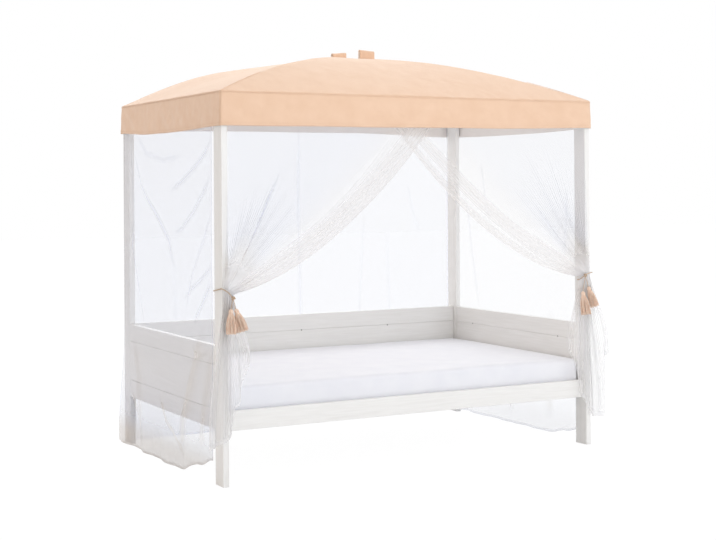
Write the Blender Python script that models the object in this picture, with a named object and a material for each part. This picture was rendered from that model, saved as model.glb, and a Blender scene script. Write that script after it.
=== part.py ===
"""A bed canopy on a four-poster child's bed: domed cloth roof, straight valance, sheer nets and tied curtains.

Metres, +Z up. X runs along the bed, Y from the open front to the back, and the feet stand on z = 0.
"""
import bmesh
import bpy
from math import cos, exp, pi, radians, sin
from mathutils import Vector

# The bed's outer size over its posts, and the posts' section
BED_LENGTH = 2.07
BED_WIDTH = 1.32
POST_X = 0.029
POST_Y = 0.0885
POST_TOP = 1.774

# Boards and rails
BOARD_THICK = 0.028
BOARD_EDGES = (0.248, 0.339, 0.542, 0.629)
RAIL_LOW = 0.246
RAIL_HIGH = 0.335
RAIL_INSET = 0.022
BACK_INSET = 0.030
TOP_RAIL_HIGH = 0.030
TOP_RAIL_THICK = 0.025
GAP = 0.0003

# Mattress and its slats
MATTRESS = (2.0, 1.2, 0.16)
MATTRESS_TOP = 0.445
SLAT_COUNT = 10
SLAT_WIDTH = 0.09
SLAT_THICK = 0.018

# Cloth roof: an eave, and hips that rise to the crown along this power curve
CLOTH = 0.0018
EAVE_Z = 1.779
CROWN_RISE = 0.241
HIP_POWER = 1.85
ROOF_HALF_X = BED_LENGTH / 2 + 0.0085
ROOF_HALF_Y = BED_WIDTH / 2 + 0.0085
PANEL_SAG = 0.007
CORNER_RADIUS = 0.014

# Nets
NET = 0.0012
NET_TOP = 1.765
NET_OFF = 0.0035

# Curtain ties
CORD_RADIUS = 0.0025
KNOT_RADIUS = 0.0085
LOCKS = 12
CORD_STEP = 0.0115

# How far the bed's centre stands from the middle of the whole object's box
CENTRE_X = -0.0130
CENTRE_Y = 0.01533

HALF_X = BED_LENGTH / 2
HALF_Y = BED_WIDTH / 2
FACE_Z = Vector((0, 0, 1))


def clear_scene():
    for obj in list(bpy.data.objects):
        bpy.data.objects.remove(obj, do_unlink=True)


def finish_of(name, colour, rough, alpha=1.0):
    material = bpy.data.materials.new(name + "_finish")
    material.use_nodes = True
    shader = material.node_tree.nodes["Principled BSDF"]
    shader.inputs["Base Color"].default_value = (*colour, 1.0)
    shader.inputs["Roughness"].default_value = rough
    shader.inputs["Metallic"].default_value = 0.0
    shader.inputs["Alpha"].default_value = alpha
    return material


LACQUER = dict(colour=(0.86, 0.85, 0.82), rough=0.35)
MATTRESS_WHITE = dict(colour=(0.84, 0.84, 0.88), rough=0.9)
PEACH = dict(colour=(0.86, 0.67, 0.50), rough=0.9)
TULLE = dict(colour=(0.93, 0.93, 0.95), rough=0.9, alpha=0.35)
YARN_PEACH = dict(colour=(0.80, 0.55, 0.42), rough=0.95)
CORD_BEIGE = dict(colour=(0.78, 0.68, 0.56), rough=0.9)


def place(name, work, finish, smooth=False):
    """Turns a finished bmesh into a named object on the bed's centre."""
    bmesh.ops.recalc_face_normals(work, faces=work.faces)
    mesh = bpy.data.meshes.new(name)
    work.to_mesh(mesh)
    work.free()
    if smooth:
        mesh.shade_smooth()
    obj = bpy.data.objects.new(name, mesh)
    obj.data.materials.append(finish_of(name, **finish))
    bpy.context.scene.collection.objects.link(obj)
    obj.parent = BED
    return obj


def ramp(value, start, end):
    """0 before start, 1 after end, and smooth between them."""
    t = min(max((value - start) / (end - start), 0.0), 1.0)
    return t * t * (3 - 2 * t)


def between(value, table):
    """Reads a short table of (place, value) rows, smoothly from row to row."""
    for (a, low), (b, high) in zip(table, table[1:]):
        if value <= b:
            return low + (high - low) * ramp(value, a, b)
    return table[-1][1]


def board(name, low, high, finish=LACQUER, edge=0.0015):
    """A plain board with broken edges, given by its lowest and highest corners."""
    work = bmesh.new()
    bmesh.ops.create_cube(work, size=1.0)
    size = [h - l for l, h in zip(low, high)]
    middle = [(h + l) / 2 for l, h in zip(low, high)]
    bmesh.ops.scale(work, vec=size, verts=work.verts)
    bmesh.ops.bevel(
        work, geom=work.edges[:], offset=edge, segments=1, profile=0.5, affect="EDGES", material=-1
    )
    obj = place(name, work, finish)
    obj.location = middle
    return obj


def sheet(name, columns, rows, shape, push, finish=TULLE):
    """A thin cloth: a grid placed by shape(u, v), and as thick as push, half on each side."""
    work = bmesh.new()
    bmesh.ops.create_grid(work, x_segments=columns, y_segments=rows, size=0.5)
    for vert in work.verts:
        vert.co = shape(vert.co.x + 0.5, vert.co.y + 0.5) - push / 2
    grown = bmesh.ops.extrude_face_region(work, geom=work.faces[:])
    moved = [part for part in grown["geom"] if isinstance(part, bmesh.types.BMVert)]
    bmesh.ops.translate(work, vec=push, verts=moved)
    return place(name, work, finish, smooth=True)


def skin(name, loops, finish):
    """A closed ring of cloth: loops of equal length, each joined to the next and the last to the first."""
    work = bmesh.new()
    rings = [[work.verts.new(point) for point in loop] for loop in loops]
    count = len(rings[0])
    for ring, following in zip(rings, rings[1:] + rings[:1]):
        for i in range(count):
            j = (i + 1) % count
            work.faces.new((ring[i], ring[j], following[j], following[i]))
    return place(name, work, finish, smooth=True)


def add_posts():
    corners = (("front_left", -1, -1), ("front_right", 1, -1), ("back_left", -1, 1), ("back_right", 1, 1))
    for name, side_x, side_y in corners:
        outer = Vector((side_x * HALF_X, side_y * HALF_Y, POST_TOP))
        inner = Vector((side_x * (HALF_X - POST_X), side_y * (HALF_Y - POST_Y), 0.0))
        low = [min(a, b) for a, b in zip(outer, inner)]
        high = [max(a, b) for a, b in zip(outer, inner)]
        board("post_" + name, low, high)


def add_boards():
    """Three boards at each end and at the back, with a hairline joint between them."""
    inner_x = HALF_X - POST_X - GAP
    inner_y = HALF_Y - POST_Y - GAP
    back_y = HALF_Y - BACK_INSET
    names = ("low", "middle", "top")
    for name, low_z, high_z in zip(names, BOARD_EDGES, BOARD_EDGES[1:]):
        low_z += GAP
        board(
            f"end_board_left_{name}",
            (-HALF_X, -inner_y, low_z),
            (-HALF_X + BOARD_THICK, inner_y, high_z),
            edge=0.003,
        )
        board(
            f"end_board_right_{name}",
            (HALF_X - BOARD_THICK, -inner_y, low_z),
            (HALF_X, inner_y, high_z),
            edge=0.003,
        )
        board(
            f"back_board_{name}",
            (-inner_x, back_y - BOARD_THICK, low_z),
            (inner_x, back_y, high_z),
            edge=0.003,
        )


def add_rails():
    inner_x = HALF_X - POST_X - GAP
    inner_y = HALF_Y - POST_Y - GAP
    front = -HALF_Y + RAIL_INSET
    board("side_rail_front", (-inner_x, front, RAIL_LOW), (inner_x, front + BOARD_THICK, RAIL_HIGH))
    low = POST_TOP - TOP_RAIL_HIGH
    outer = HALF_Y - 0.009
    deep = outer - TOP_RAIL_THICK
    board("top_rail_front", (-inner_x, -outer, low), (inner_x, -deep, POST_TOP))
    board("top_rail_back", (-inner_x, deep, low), (inner_x, outer, POST_TOP))
    near = HALF_X - 0.002
    far = near - TOP_RAIL_THICK
    board("top_rail_left", (-near, -inner_y, low), (-far, inner_y, POST_TOP))
    board("top_rail_right", (far, -inner_y, low), (near, inner_y, POST_TOP))


def add_slats():
    """A slatted base: one flat plate of bars and slats with the gaps left open."""
    half_x = HALF_X - POST_X - 0.012
    low_y = -HALF_Y + RAIL_INSET + BOARD_THICK + 0.006
    high_y = HALF_Y - BACK_INSET - BOARD_THICK - 0.006
    bar = 0.05
    pitch = (2 * half_x - SLAT_WIDTH) / (SLAT_COUNT - 1)
    cuts_x = []
    for i in range(SLAT_COUNT):
        cuts_x += [-half_x + i * pitch, -half_x + i * pitch + SLAT_WIDTH]
    cuts_y = [low_y, low_y + bar, high_y - bar, high_y]
    work = bmesh.new()
    grid = [[work.verts.new((x, y, 0.0)) for y in cuts_y] for x in cuts_x]
    for i in range(len(cuts_x) - 1):
        for j in range(3):
            if i % 2 == 1 and j == 1:
                continue
            work.faces.new((grid[i][j], grid[i + 1][j], grid[i + 1][j + 1], grid[i][j + 1]))
    grown = bmesh.ops.extrude_face_region(work, geom=work.faces[:])
    moved = [part for part in grown["geom"] if isinstance(part, bmesh.types.BMVert)]
    bmesh.ops.translate(work, vec=(0, 0, SLAT_THICK), verts=moved)
    base = place("slatted_base", work, LACQUER)
    base.location.z = MATTRESS_TOP - MATTRESS[2] - SLAT_THICK - GAP


def add_mattress():
    length, width, deep = MATTRESS
    work = bmesh.new()
    bmesh.ops.create_cube(work, size=1.0)
    bmesh.ops.scale(work, vec=MATTRESS, verts=work.verts)
    bmesh.ops.bevel(
        work, geom=work.edges[:], offset=0.022, segments=3, profile=0.5, affect="EDGES", material=-1
    )
    obj = place("mattress", work, MATTRESS_WHITE, smooth=True)
    obj.location = (0.0, -0.003, MATTRESS_TOP - deep / 2)


def roof_height(x, y):
    """Height of the roof's outer face. Each level line is a rectangle, drawn in a little between the hips."""
    across = abs(x) / ROOF_HALF_X
    along = abs(y) / ROOF_HALF_Y
    reach = max(across, along)
    height = EAVE_Z + CROWN_RISE * (1 - min(reach, 1.0) ** HIP_POWER)
    share = min(across, along) / max(reach, 0.001)
    return height - PANEL_SAG * 4 * reach * (1 - reach) * (1 - share**2)


def ring_point(turn, side_x, side_y, radius=0.0):
    """A point on a rounded rectangle, with turn from 0 to 4 and one unit for each side from the front left."""
    side = int(turn) % 4
    t = turn - int(turn)
    corner = ((-1, -1), (1, -1), (1, 1), (-1, 1))
    a = Vector((corner[side][0] * side_x, corner[side][1] * side_y))
    b = Vector((corner[(side + 1) % 4][0] * side_x, corner[(side + 1) % 4][1] * side_y))
    point = a.lerp(b, t)
    if radius:
        over_x = max(abs(point.x) - (side_x - radius), 0.0)
        over_y = max(abs(point.y) - (side_y - radius), 0.0)
        if over_x and over_y:
            shrink = radius / (over_x**2 + over_y**2) ** 0.5
            point.x = (abs(point.x) - over_x + over_x * shrink) * (1 if point.x > 0 else -1)
            point.y = (abs(point.y) - over_y + over_y * shrink) * (1 if point.y > 0 else -1)
    return point


def ring_turns(long_steps, short_steps):
    """Turns round the cloth's edge, with one more at each end of every rounded corner."""
    turns = []
    for side in range(4):
        steps = short_steps if side % 2 else long_steps
        half = ROOF_HALF_Y if side % 2 else ROOF_HALF_X
        arc = CORNER_RADIUS / (2 * half)
        turns += [side, side + arc]
        turns += [side + i / steps for i in range(1, steps)]
        turns.append(side + 1 - arc)
    return turns


def add_roof():
    """The domed roof cloth, one sewn skin of four panels, open below."""
    turns = ring_turns(9, 7)
    reaches = (1.0, 0.93, 0.84, 0.74, 0.63, 0.51, 0.39, 0.27, 0.15, 0.06)
    work = bmesh.new()
    rings = []
    for reach in reaches:
        ring = []
        for turn in turns:
            spot = ring_point(turn, ROOF_HALF_X * reach, ROOF_HALF_Y * reach, CORNER_RADIUS * reach)
            ring.append(work.verts.new((spot.x, spot.y, roof_height(spot.x, spot.y) - CLOTH)))
        rings.append(ring)
    count = len(turns)
    for ring, inner in zip(rings, rings[1:]):
        for i in range(count):
            j = (i + 1) % count
            work.faces.new((ring[i], ring[j], inner[j], inner[i]))
    crown = work.verts.new((0, 0, roof_height(0, 0) - CLOTH))
    for i in range(count):
        work.faces.new((rings[-1][i], rings[-1][(i + 1) % count], crown))
    grown = bmesh.ops.extrude_face_region(work, geom=work.faces[:])
    moved = [part for part in grown["geom"] if isinstance(part, bmesh.types.BMVert)]
    bmesh.ops.translate(work, vec=FACE_Z * CLOTH, verts=moved)
    place("roof", work, PEACH, smooth=True)


# Valance hem: (turn, height above the floor), one unit for each side from the front left corner
HEM = (
    (0.0, 1.622), (0.35, 1.626), (0.70, 1.631), (1.0, 1.641),
    (1.4, 1.634), (1.75, 1.633), (2.0, 1.640),
    (2.3, 1.658), (2.7, 1.657), (2.93, 1.650), (3.0, 1.634),
    (3.3, 1.617), (3.6, 1.614), (4.0, 1.622),
)


def add_valance():
    """The straight band sewn to the roof's eave: one closed ring with a slightly uneven hem."""
    turns = ring_turns(18, 12)
    top = EAVE_Z - CLOTH - GAP
    loops = []
    for inward, order in ((0.0, (0, 1, 2)), (CLOTH, (2, 1, 0))):
        for level in order:
            loop = []
            for turn in turns:
                drop = level / 2
                flare = drop * (0.0035 + 0.002 * sin(turn * 9.1) + 0.0015 * sin(turn * 23.0))
                spot = ring_point(
                    turn, ROOF_HALF_X - inward + flare, ROOF_HALF_Y - inward + flare, CORNER_RADIUS
                )
                loop.append((spot.x, spot.y, top + (between(turn, HEM) - top) * drop))
            loops.append(loop)
    skin("valance", loops, PEACH)


def add_roof_bows():
    """Two bent battens that cross under the crown, from post to post, and hold up the roof cloth."""
    foot = Vector((HALF_X - POST_X / 2, HALF_Y - POST_Y / 2))
    thick = 0.010
    end_thick = 0.0055
    half = 0.0125
    stations = 13
    bars = []
    for name, side, lower in (("roof_bows", 1, 0.0), ("second_bow", -1, 0.0011)):
        along = Vector((foot.x, foot.y * side))
        across = Vector((-along.y, along.x)).normalized() * half
        work = bmesh.new()
        rows = []
        for i in range(stations):
            spot = along * (1 - 2 * i / (stations - 1))
            high = roof_height(spot.x, spot.y) - CLOTH - 0.0032 - lower
            low = high - thick
            if i in (0, stations - 1):
                low = POST_TOP + GAP
                high = low + end_thick
            rows.append(
                [
                    work.verts.new((spot.x + across.x, spot.y + across.y, high)),
                    work.verts.new((spot.x - across.x, spot.y - across.y, high)),
                    work.verts.new((spot.x - across.x, spot.y - across.y, low)),
                    work.verts.new((spot.x + across.x, spot.y + across.y, low)),
                ]
            )
        for row, following in zip(rows, rows[1:]):
            for k in range(4):
                work.faces.new((row[k], row[(k + 1) % 4], following[(k + 1) % 4], following[k]))
        work.faces.new(rows[0])
        work.faces.new(rows[-1])
        bars.append(place(name, work, LACQUER))
    join(bars[0], bars[1])


def join(whole, piece):
    """Makes piece part of whole with a Boolean union, and hides what is left of it."""
    union = whole.modifiers.new("union", "BOOLEAN")
    union.operation = "UNION"
    union.solver = "EXACT"
    union.object = piece
    piece.hide_render = True
    piece.display_type = "WIRE"


# Strap loops on the crown: middle along X, width, height of the left and of the right end
CROWN_LOOPS = (
    ("crown_loop_left", -0.084, 0.080, 0.026, 0.034),
    ("crown_loop_right", 0.082, 0.086, 0.052, 0.047),
)


def add_crown_loops():
    """Two short loops of folded strap that stand on the roof at each side of the crown."""
    half_deep = 0.011
    thick = 0.002
    for name, middle, width, high_left, high_right in CROWN_LOOPS:
        work = bmesh.new()
        rows = []
        for i in range(5):
            t = i / 4
            x = middle + (t - 0.5) * width
            top = roof_height(middle, 0.0) + high_left + (high_right - high_left) * t
            foot = roof_height(x, half_deep) + 0.0008
            bend = half_deep * 0.9
            outer = [(-half_deep, foot), (-half_deep, top - bend)]
            inner = [(-half_deep + thick, foot), (-half_deep + thick, top - bend)]
            for k in range(1, 6):
                turn = pi - k * pi / 6
                outer.append((half_deep * cos(turn), top - bend + bend * sin(turn)))
                inner.append(((half_deep - thick) * cos(turn), top - bend + (bend - thick) * sin(turn)))
            outer += [(half_deep, top - bend), (half_deep, foot)]
            inner += [(half_deep - thick, top - bend), (half_deep - thick, foot)]
            profile = outer + inner[::-1]
            rows.append([work.verts.new((x, y, z)) for y, z in profile])
        for row, following in zip(rows, rows[1:]):
            for k in range(len(row)):
                j = (k + 1) % len(row)
                work.faces.new((row[k], row[j], following[j], following[k]))
        for row in (rows[0], rows[-1]):
            for k in range(len(row) // 2 - 1):
                work.faces.new((row[k], row[k + 1], row[-2 - k], row[-1 - k]))
        place(name, work, PEACH, smooth=False)


def fold_depth(across, height, folds):
    """How far the net stands out at a point, from a table of folds."""
    depth = 0.0
    for a_across, a_height, b_across, b_height, width, rise in folds:
        start = Vector((a_across, a_height))
        line = Vector((b_across, b_height)) - start
        t = min(max((Vector((across, height)) - start).dot(line) / line.length_squared, 0.0), 1.0)
        away = (start + line * t - Vector((across, height))).length
        depth += rise * exp(-((away / width) ** 2))
    return depth


# Folds of a net: start and end as (across, height), half width, and how far it stands out
LEFT_FOLDS = (
    (0.44, 1.52, -0.08, 0.98, 0.050, 0.014),
    (-0.54, 1.57, -0.07, 1.33, 0.055, 0.014),
    (-0.52, 1.38, -0.26, 1.18, 0.045, 0.010),
    (-0.56, 1.18, -0.33, 0.89, 0.040, 0.010),
    (-0.56, 0.97, -0.26, 0.80, 0.040, 0.010),
    (-0.44, 0.64, -0.13, 0.16, 0.045, 0.012),
    (0.46, 1.04, 0.28, 0.66, 0.045, 0.012),
    (0.43, 0.30, 0.31, 0.05, 0.045, 0.010),
    (0.58, 0.60, 0.70, 0.02, 0.060, 0.014),
)
RIGHT_FOLDS = (
    (0.53, 1.30, 0.40, 0.62, 0.045, 0.012),
    (0.36, 1.50, 0.30, 1.15, 0.045, 0.008),
    (-0.45, 1.35, -0.42, 0.95, 0.045, 0.010),
    (0.15, 0.60, 0.10, 0.02, 0.060, 0.010),
    (-0.30, 0.70, -0.24, 0.04, 0.060, 0.020),
    (0.52, 0.50, 0.60, 0.02, 0.060, 0.016),
)
BACK_FOLDS = (
    (0.02, 1.60, 0.03, 0.30, 0.035, 0.010),
    (0.43, 1.20, 0.43, 0.10, 0.060, 0.012),
    (0.60, 1.30, 0.61, 0.20, 0.050, 0.012),
    (0.73, 1.38, 0.82, 1.05, 0.050, 0.010),
    (-0.40, 1.20, -0.42, 0.05, 0.070, 0.012),
    (-0.75, 1.00, -0.74, 0.10, 0.060, 0.012),
)


def hang(across, height, folds, lean):
    """How far a net stands off the bed: close under the valance, freer below it."""
    free = ramp(1.60 - height, 0.0, 0.30)
    low = ramp(0.55 - height, 0.0, 0.50)
    return NET_OFF + free * (0.004 + fold_depth(across, height, folds)) + low * lean


def add_end_net(name, side, folds, hem, lean, back_edge, columns, rows):
    """A net that hangs from an end rail to the floor, its front corner lifted a little."""
    front_edge = -HALF_Y + POST_Y + 0.017

    def shape(u, v):
        low = between(u, hem)
        height = low + (NET_TOP - low) * v
        spread = ramp(0.60 - height, 0.0, 0.55)
        rear = HALF_Y - 0.020 + (back_edge - HALF_Y + 0.020) * spread
        across = front_edge + (rear - front_edge) * u
        return Vector((side * (HALF_X + hang(across, height, folds, lean)), across, height))

    sheet(name, columns, rows, shape, Vector((NET, 0, 0)))


def add_back_net():
    def shape(u, v):
        across = (u - 0.5) * 2 * (HALF_X - 0.020)
        height = NET_TOP * v
        return Vector((across, HALF_Y + hang(across, height, BACK_FOLDS, 0.012), height))

    sheet("net_back", 20, 8, shape, Vector((0, NET, 0)))


# A curtain is read across its cloth: u is 0 at the post's side and 1 at the leading edge.
# Its tail has (u, X out from the post's middle) at the hem, and (u, height of the hem).
LEFT_TAIL_SPREAD = ((0.0, 0.092), (0.3, 0.060), (0.6, -0.012), (0.8, -0.060), (1.0, -0.108))
LEFT_TAIL_HEM = ((0.0, 0.175), (0.45, 0.20), (0.62, 0.235), (0.72, 0.36), (1.0, 0.56))
RIGHT_TAIL_SPREAD = ((0.0, 0.118), (0.15, 0.090), (0.5, 0.010), (0.8, -0.070), (1.0, -0.135))
RIGHT_TAIL_HEM = ((0.0, 0.47), (0.10, 0.46), (0.20, 0.145), (0.5, 0.15), (0.72, 0.25), (1.0, 0.50))
NECK_HALF = 0.013
CURTAIN_COLUMNS = 22
ROWS_ABOVE = 12
ROWS_BELOW = 8


def add_curtain(name, side, front, lead, neck, sag, band_start, spread, hem, phase):
    """A front net curtain, swept from the middle of the front to its post, tied there and left to hang."""
    post = HALF_X - POST_X / 2
    top_edge = HALF_X - POST_X - 0.005
    rows = ROWS_ABOVE + 1 + ROWS_BELOW

    def column(u):
        """Columns lie closer in the gathered band along the leading edge."""
        if u < 0.42:
            return u * band_start / 0.42
        return band_start + (u - 0.42) * (1 - band_start) / 0.58

    def shape(u, v):
        along = column(u)
        top = top_edge + (lead - top_edge) * along
        knot_x = neck[0][0] + (neck[1][0] - neck[0][0]) * u
        knot_z = neck[0][1] + (neck[1][1] - neck[0][1]) * u
        row = (1 - v) * rows
        band = ramp(u, 0.34, 0.50)
        if row < ROWS_ABOVE + 0.5:
            t = row / ROWS_ABOVE
            x = top + (knot_x - top) * t ** (1 + 1.2 * (1 - along) ** 6)
            end = knot_z + NECK_HALF
            z = NET_TOP + (end - NET_TOP) * t - (sag + 0.03 * t) * along**6 * 4 * t * (1 - t)
            near = ramp(t, 0.75, 1.0)
            pleat = band * (0.002 + 0.010 * ramp(NET_TOP - z, 0.13, 0.36))
            loose = 0.004 * (1 - band) * ramp(NET_TOP - z, 0.13, 0.36) * (1 - near)
        else:
            t = (row - ROWS_ABOVE - 1) / ROWS_BELOW
            x = knot_x + (post + between(u, spread) - knot_x) * ramp(t, -0.02, 0.9) ** 0.8
            start = knot_z - NECK_HALF
            z = start + (between(u, hem) - start) * t
            near = 1 - ramp(t, 0.0, 0.25)
            pleat = 0.012 + 0.004 * t
            loose = 0.0
        pleat += (0.007 - pleat) * near
        gathered = 0.016 * near * sin(pi * u)
        out = 0.0035 + 0.010 * ramp(NET_TOP - z, 0.15, 0.40) + 0.006 * ramp(1.2 - z, 0.0, 0.3)
        if front:
            base = 0.001 - out
        else:
            clear = ramp(x, 0.24, 0.60)
            base = 0.0065 - out * clear + 0.003 * (1 - clear) * ramp(NET_TOP - z, 0.05, 0.2)
        wave = 0.5 + 0.5 * sin(u * 2 * pi * 5.5 + phase)
        swell = 0.5 + 0.5 * sin(along * 2 * pi * 2.6 + phase)
        y = base - pleat * wave - loose * swell - gathered
        return Vector((side * x, y - HALF_Y, z))

    sheet(name, CURTAIN_COLUMNS, rows, shape, Vector((0, NET, 0)))


def smooth_route(points, step):
    """Evenly spaced points along a smooth curve through a short list of hand-set ones."""
    ends = [points[0] * 2 - points[1], *points, points[-1] * 2 - points[-2]]
    fine = []
    for i in range(1, len(ends) - 2):
        a, b, c, d = ends[i - 1 : i + 3]
        for k in range(12):
            t = k / 12
            bow = a * 2 - b * 5 + c * 4 - d
            twist = b * 3 - a - c * 3 + d
            fine.append((b * 2 + (c - a) * t + bow * t**2 + twist * t**3) / 2)
    fine.append(points[-1])
    walked = [0.0]
    for a, b in zip(fine, fine[1:]):
        walked.append(walked[-1] + (b - a).length)
    count = max(2, round(walked[-1] / step))
    route = []
    i = 0
    for k in range(count):
        goal = walked[-1] * k / count
        while walked[i + 1] < goal:
            i += 1
        route.append(fine[i].lerp(fine[i + 1], (goal - walked[i]) / (walked[i + 1] - walked[i])))
    return route + [points[-1]]


def cord(name, points):
    curve = bpy.data.curves.new(name, "CURVE")
    curve.dimensions = "3D"
    curve.bevel_depth = CORD_RADIUS
    curve.bevel_resolution = 2
    curve.use_fill_caps = True
    route = smooth_route([Vector(point) for point in points], CORD_STEP)
    spline = curve.splines.new("POLY")
    spline.points.add(len(route) - 1)
    for target, point in zip(spline.points, route):
        target.co = (*point, 1.0)
    obj = bpy.data.objects.new(name, curve)
    curve.materials.append(finish_of(name, **CORD_BEIGE))
    bpy.context.scene.collection.objects.link(obj)
    obj.parent = BED
    return obj


# Each tie's cord from the knot, round the post and back to the knot, as (X, Y, Z)
LEFT_CORD = (
    (-1.0115, -0.7105, 0.8600), (-1.0220, -0.7090, 0.8730), (-1.0340, -0.7030, 0.8840),
    (-1.0408, -0.6880, 0.8900), (-1.0404, -0.6640, 0.8920), (-1.0395, -0.6200, 0.8850),
    (-1.0390, -0.5780, 0.8780), (-1.0350, -0.5668, 0.8765), (-1.0060, -0.5664, 0.8720),
    (-1.0016, -0.5750, 0.8700), (-1.0018, -0.6200, 0.8600), (-0.9960, -0.6500, 0.8530),
    (-0.9885, -0.6720, 0.8500), (-0.9870, -0.6900, 0.8480), (-0.9900, -0.7040, 0.8480),
    (-0.9952, -0.7110, 0.8500),
)
RIGHT_CORD = (
    (0.9755, -0.7070, 0.8880), (0.9920, -0.7065, 0.8930), (1.0100, -0.7010, 0.8950),
    (1.0250, -0.6900, 0.8950), (1.0345, -0.6760, 0.8940), (1.0395, -0.6600, 0.8920),
    (1.0396, -0.6200, 0.8860), (1.0390, -0.5780, 0.8800), (1.0350, -0.5668, 0.8785),
    (1.0060, -0.5664, 0.8765), (1.0016, -0.5750, 0.8750), (1.0010, -0.6200, 0.8680),
    (0.9850, -0.6480, 0.8640), (0.9560, -0.6620, 0.8610), (0.9440, -0.6740, 0.8600),
    (0.9430, -0.6860, 0.8610), (0.9480, -0.7000, 0.8680), (0.9580, -0.7075, 0.8790),
)
LEFT_KNOT = (-1.0050, -0.7125, 0.8520)
RIGHT_KNOT = (0.9670, -0.7090, 0.8830)

# Tassels: (name, knot, middle of the head, middle of the skirt's end, the skirt's radius there)
TASSELS = (
    ("tassel_left_a", LEFT_KNOT, (-1.0200, -0.7220, 0.8000), (-1.0235, -0.7380, 0.6945), 0.0245),
    ("tassel_left_b", LEFT_KNOT, (-0.9935, -0.7200, 0.8000), (-0.9640, -0.7280, 0.7040), 0.0265),
    ("tassel_right_a", RIGHT_KNOT, (0.9450, -0.7160, 0.7970), (0.9520, -0.7350, 0.6840), 0.0260),
    ("tassel_right_b", RIGHT_KNOT, (0.9830, -0.7130, 0.8200), (1.0180, -0.7220, 0.7220), 0.0230),
)


def add_knot(name, centre):
    work = bmesh.new()
    bmesh.ops.create_icosphere(work, subdivisions=2, radius=KNOT_RADIUS)
    bmesh.ops.scale(work, vec=(1.0, 0.85, 1.1), verts=work.verts)
    place(name, work, CORD_BEIGE, smooth=True).location = centre


def tube_between(work, rows, sides, turn):
    """A tube with pointed corners through (middle, radius) rows, closed at both ends."""
    rings = []
    for middle, radius, right, up in rows:
        ring = []
        for k in range(sides):
            angle = turn + 2 * pi * k / sides
            ring.append(work.verts.new(middle + (right * cos(angle) + up * sin(angle)) * radius))
        rings.append(ring)
    for ring, following in zip(rings, rings[1:]):
        for k in range(sides):
            j = (k + 1) % sides
            work.faces.new((ring[k], ring[j], following[j], following[k]))
    work.faces.new(rings[0])
    work.faces.new(rings[-1])


def add_tassel(name, knot, head, end, radius):
    """A yarn tassel: a hanging stem and bound head as one backing, with the skirt's locks rooted in it."""
    knot, head, end = Vector(knot), Vector(head), Vector(end)
    axis = (end - head).normalized()
    right = axis.cross(Vector((0, 1, 0))).normalized()
    up = axis.cross(right)
    stem = (head - knot).normalized()
    stem_right = stem.cross(Vector((0, 1, 0))).normalized()
    stem_up = stem.cross(stem_right)
    backing = bmesh.new()
    rows = [(knot + stem * (KNOT_RADIUS * 1.1 + 0.0012), 0.0022, stem_right, stem_up)]
    rows.append((head - stem * 0.006, 0.0022, right, up))
    for along, size in ((-0.001, 0.0070), (0.006, 0.0100), (0.018, 0.0088), (0.022, 0.0085)):
        rows.append((head + axis * along, size, right, up))
    tube_between(backing, rows, 10, 0.0)
    locks = bmesh.new()
    length = (end - head).length - 0.018
    for ring, count, inside in ((1.0, LOCKS, 0.0068), (0.45, LOCKS // 3, 0.0030)):
        for i in range(count):
            angle = 2 * pi * (i + 0.3 * (ring < 1)) / count
            out = right * cos(angle) + up * sin(angle)
            uneven = 0.5 + 0.5 * sin(i * 2.4 + ring * 5)
            rows = []
            for t in (0.0, 0.3, 1.0):
                reach = inside + (radius * ring - inside) * (1 - (1 - t) ** 1.8)
                middle = head + axis * (0.018 + (length - 0.006 * uneven) * t) + out * reach
                rows.append((middle, 0.0011 + 0.0026 * t, right, up))
            tube_between(locks, rows, 3, angle)
    whole = place(name, backing, YARN_PEACH, smooth=True)
    join(whole, place(name + "_locks", locks, YARN_PEACH))


def add_ties():
    cord("tie_cord_left", LEFT_CORD)
    cord("tie_cord_right", RIGHT_CORD)
    add_knot("tie_knot_left", LEFT_KNOT)
    add_knot("tie_knot_right", RIGHT_KNOT)
    for tassel in TASSELS:
        add_tassel(*tassel)


clear_scene()
BED = bpy.data.objects.new("bed_centre", None)
BED.location = (CENTRE_X, CENTRE_Y, 0.0)
bpy.context.scene.collection.objects.link(BED)
add_posts()
add_boards()
add_rails()
add_slats()
add_mattress()
add_roof_bows()
add_roof()
add_valance()
add_crown_loops()
add_end_net(
    "net_left_end", -1, LEFT_FOLDS, ((0.0, 0.085), (0.2, 0.035), (0.36, 0.0), (1.0, 0.0)), 0.004, 0.735, 18, 16
)
add_end_net(
    "net_right_end", 1, RIGHT_FOLDS, ((0.0, 0.06), (0.12, 0.030), (0.25, 0.0), (1.0, 0.0)), 0.022, 0.680, 14, 14
)
add_back_net()
add_curtain(
    "curtain_left", -1, True, -0.184, ((1.0365, 0.890), (0.9925, 0.850)), 0.135, 0.845,
    LEFT_TAIL_SPREAD, LEFT_TAIL_HEM, 0.6
)
add_curtain(
    "curtain_right", 1, False, -0.240, ((1.0200, 0.895), (0.9500, 0.862)), 0.150, 0.800,
    RIGHT_TAIL_SPREAD, RIGHT_TAIL_HEM, 2.1
)
add_ties()
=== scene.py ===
from math import cos, exp, pi, radians, sin

import bmesh
import bpy
from mathutils import Matrix, Vector, noise


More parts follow.
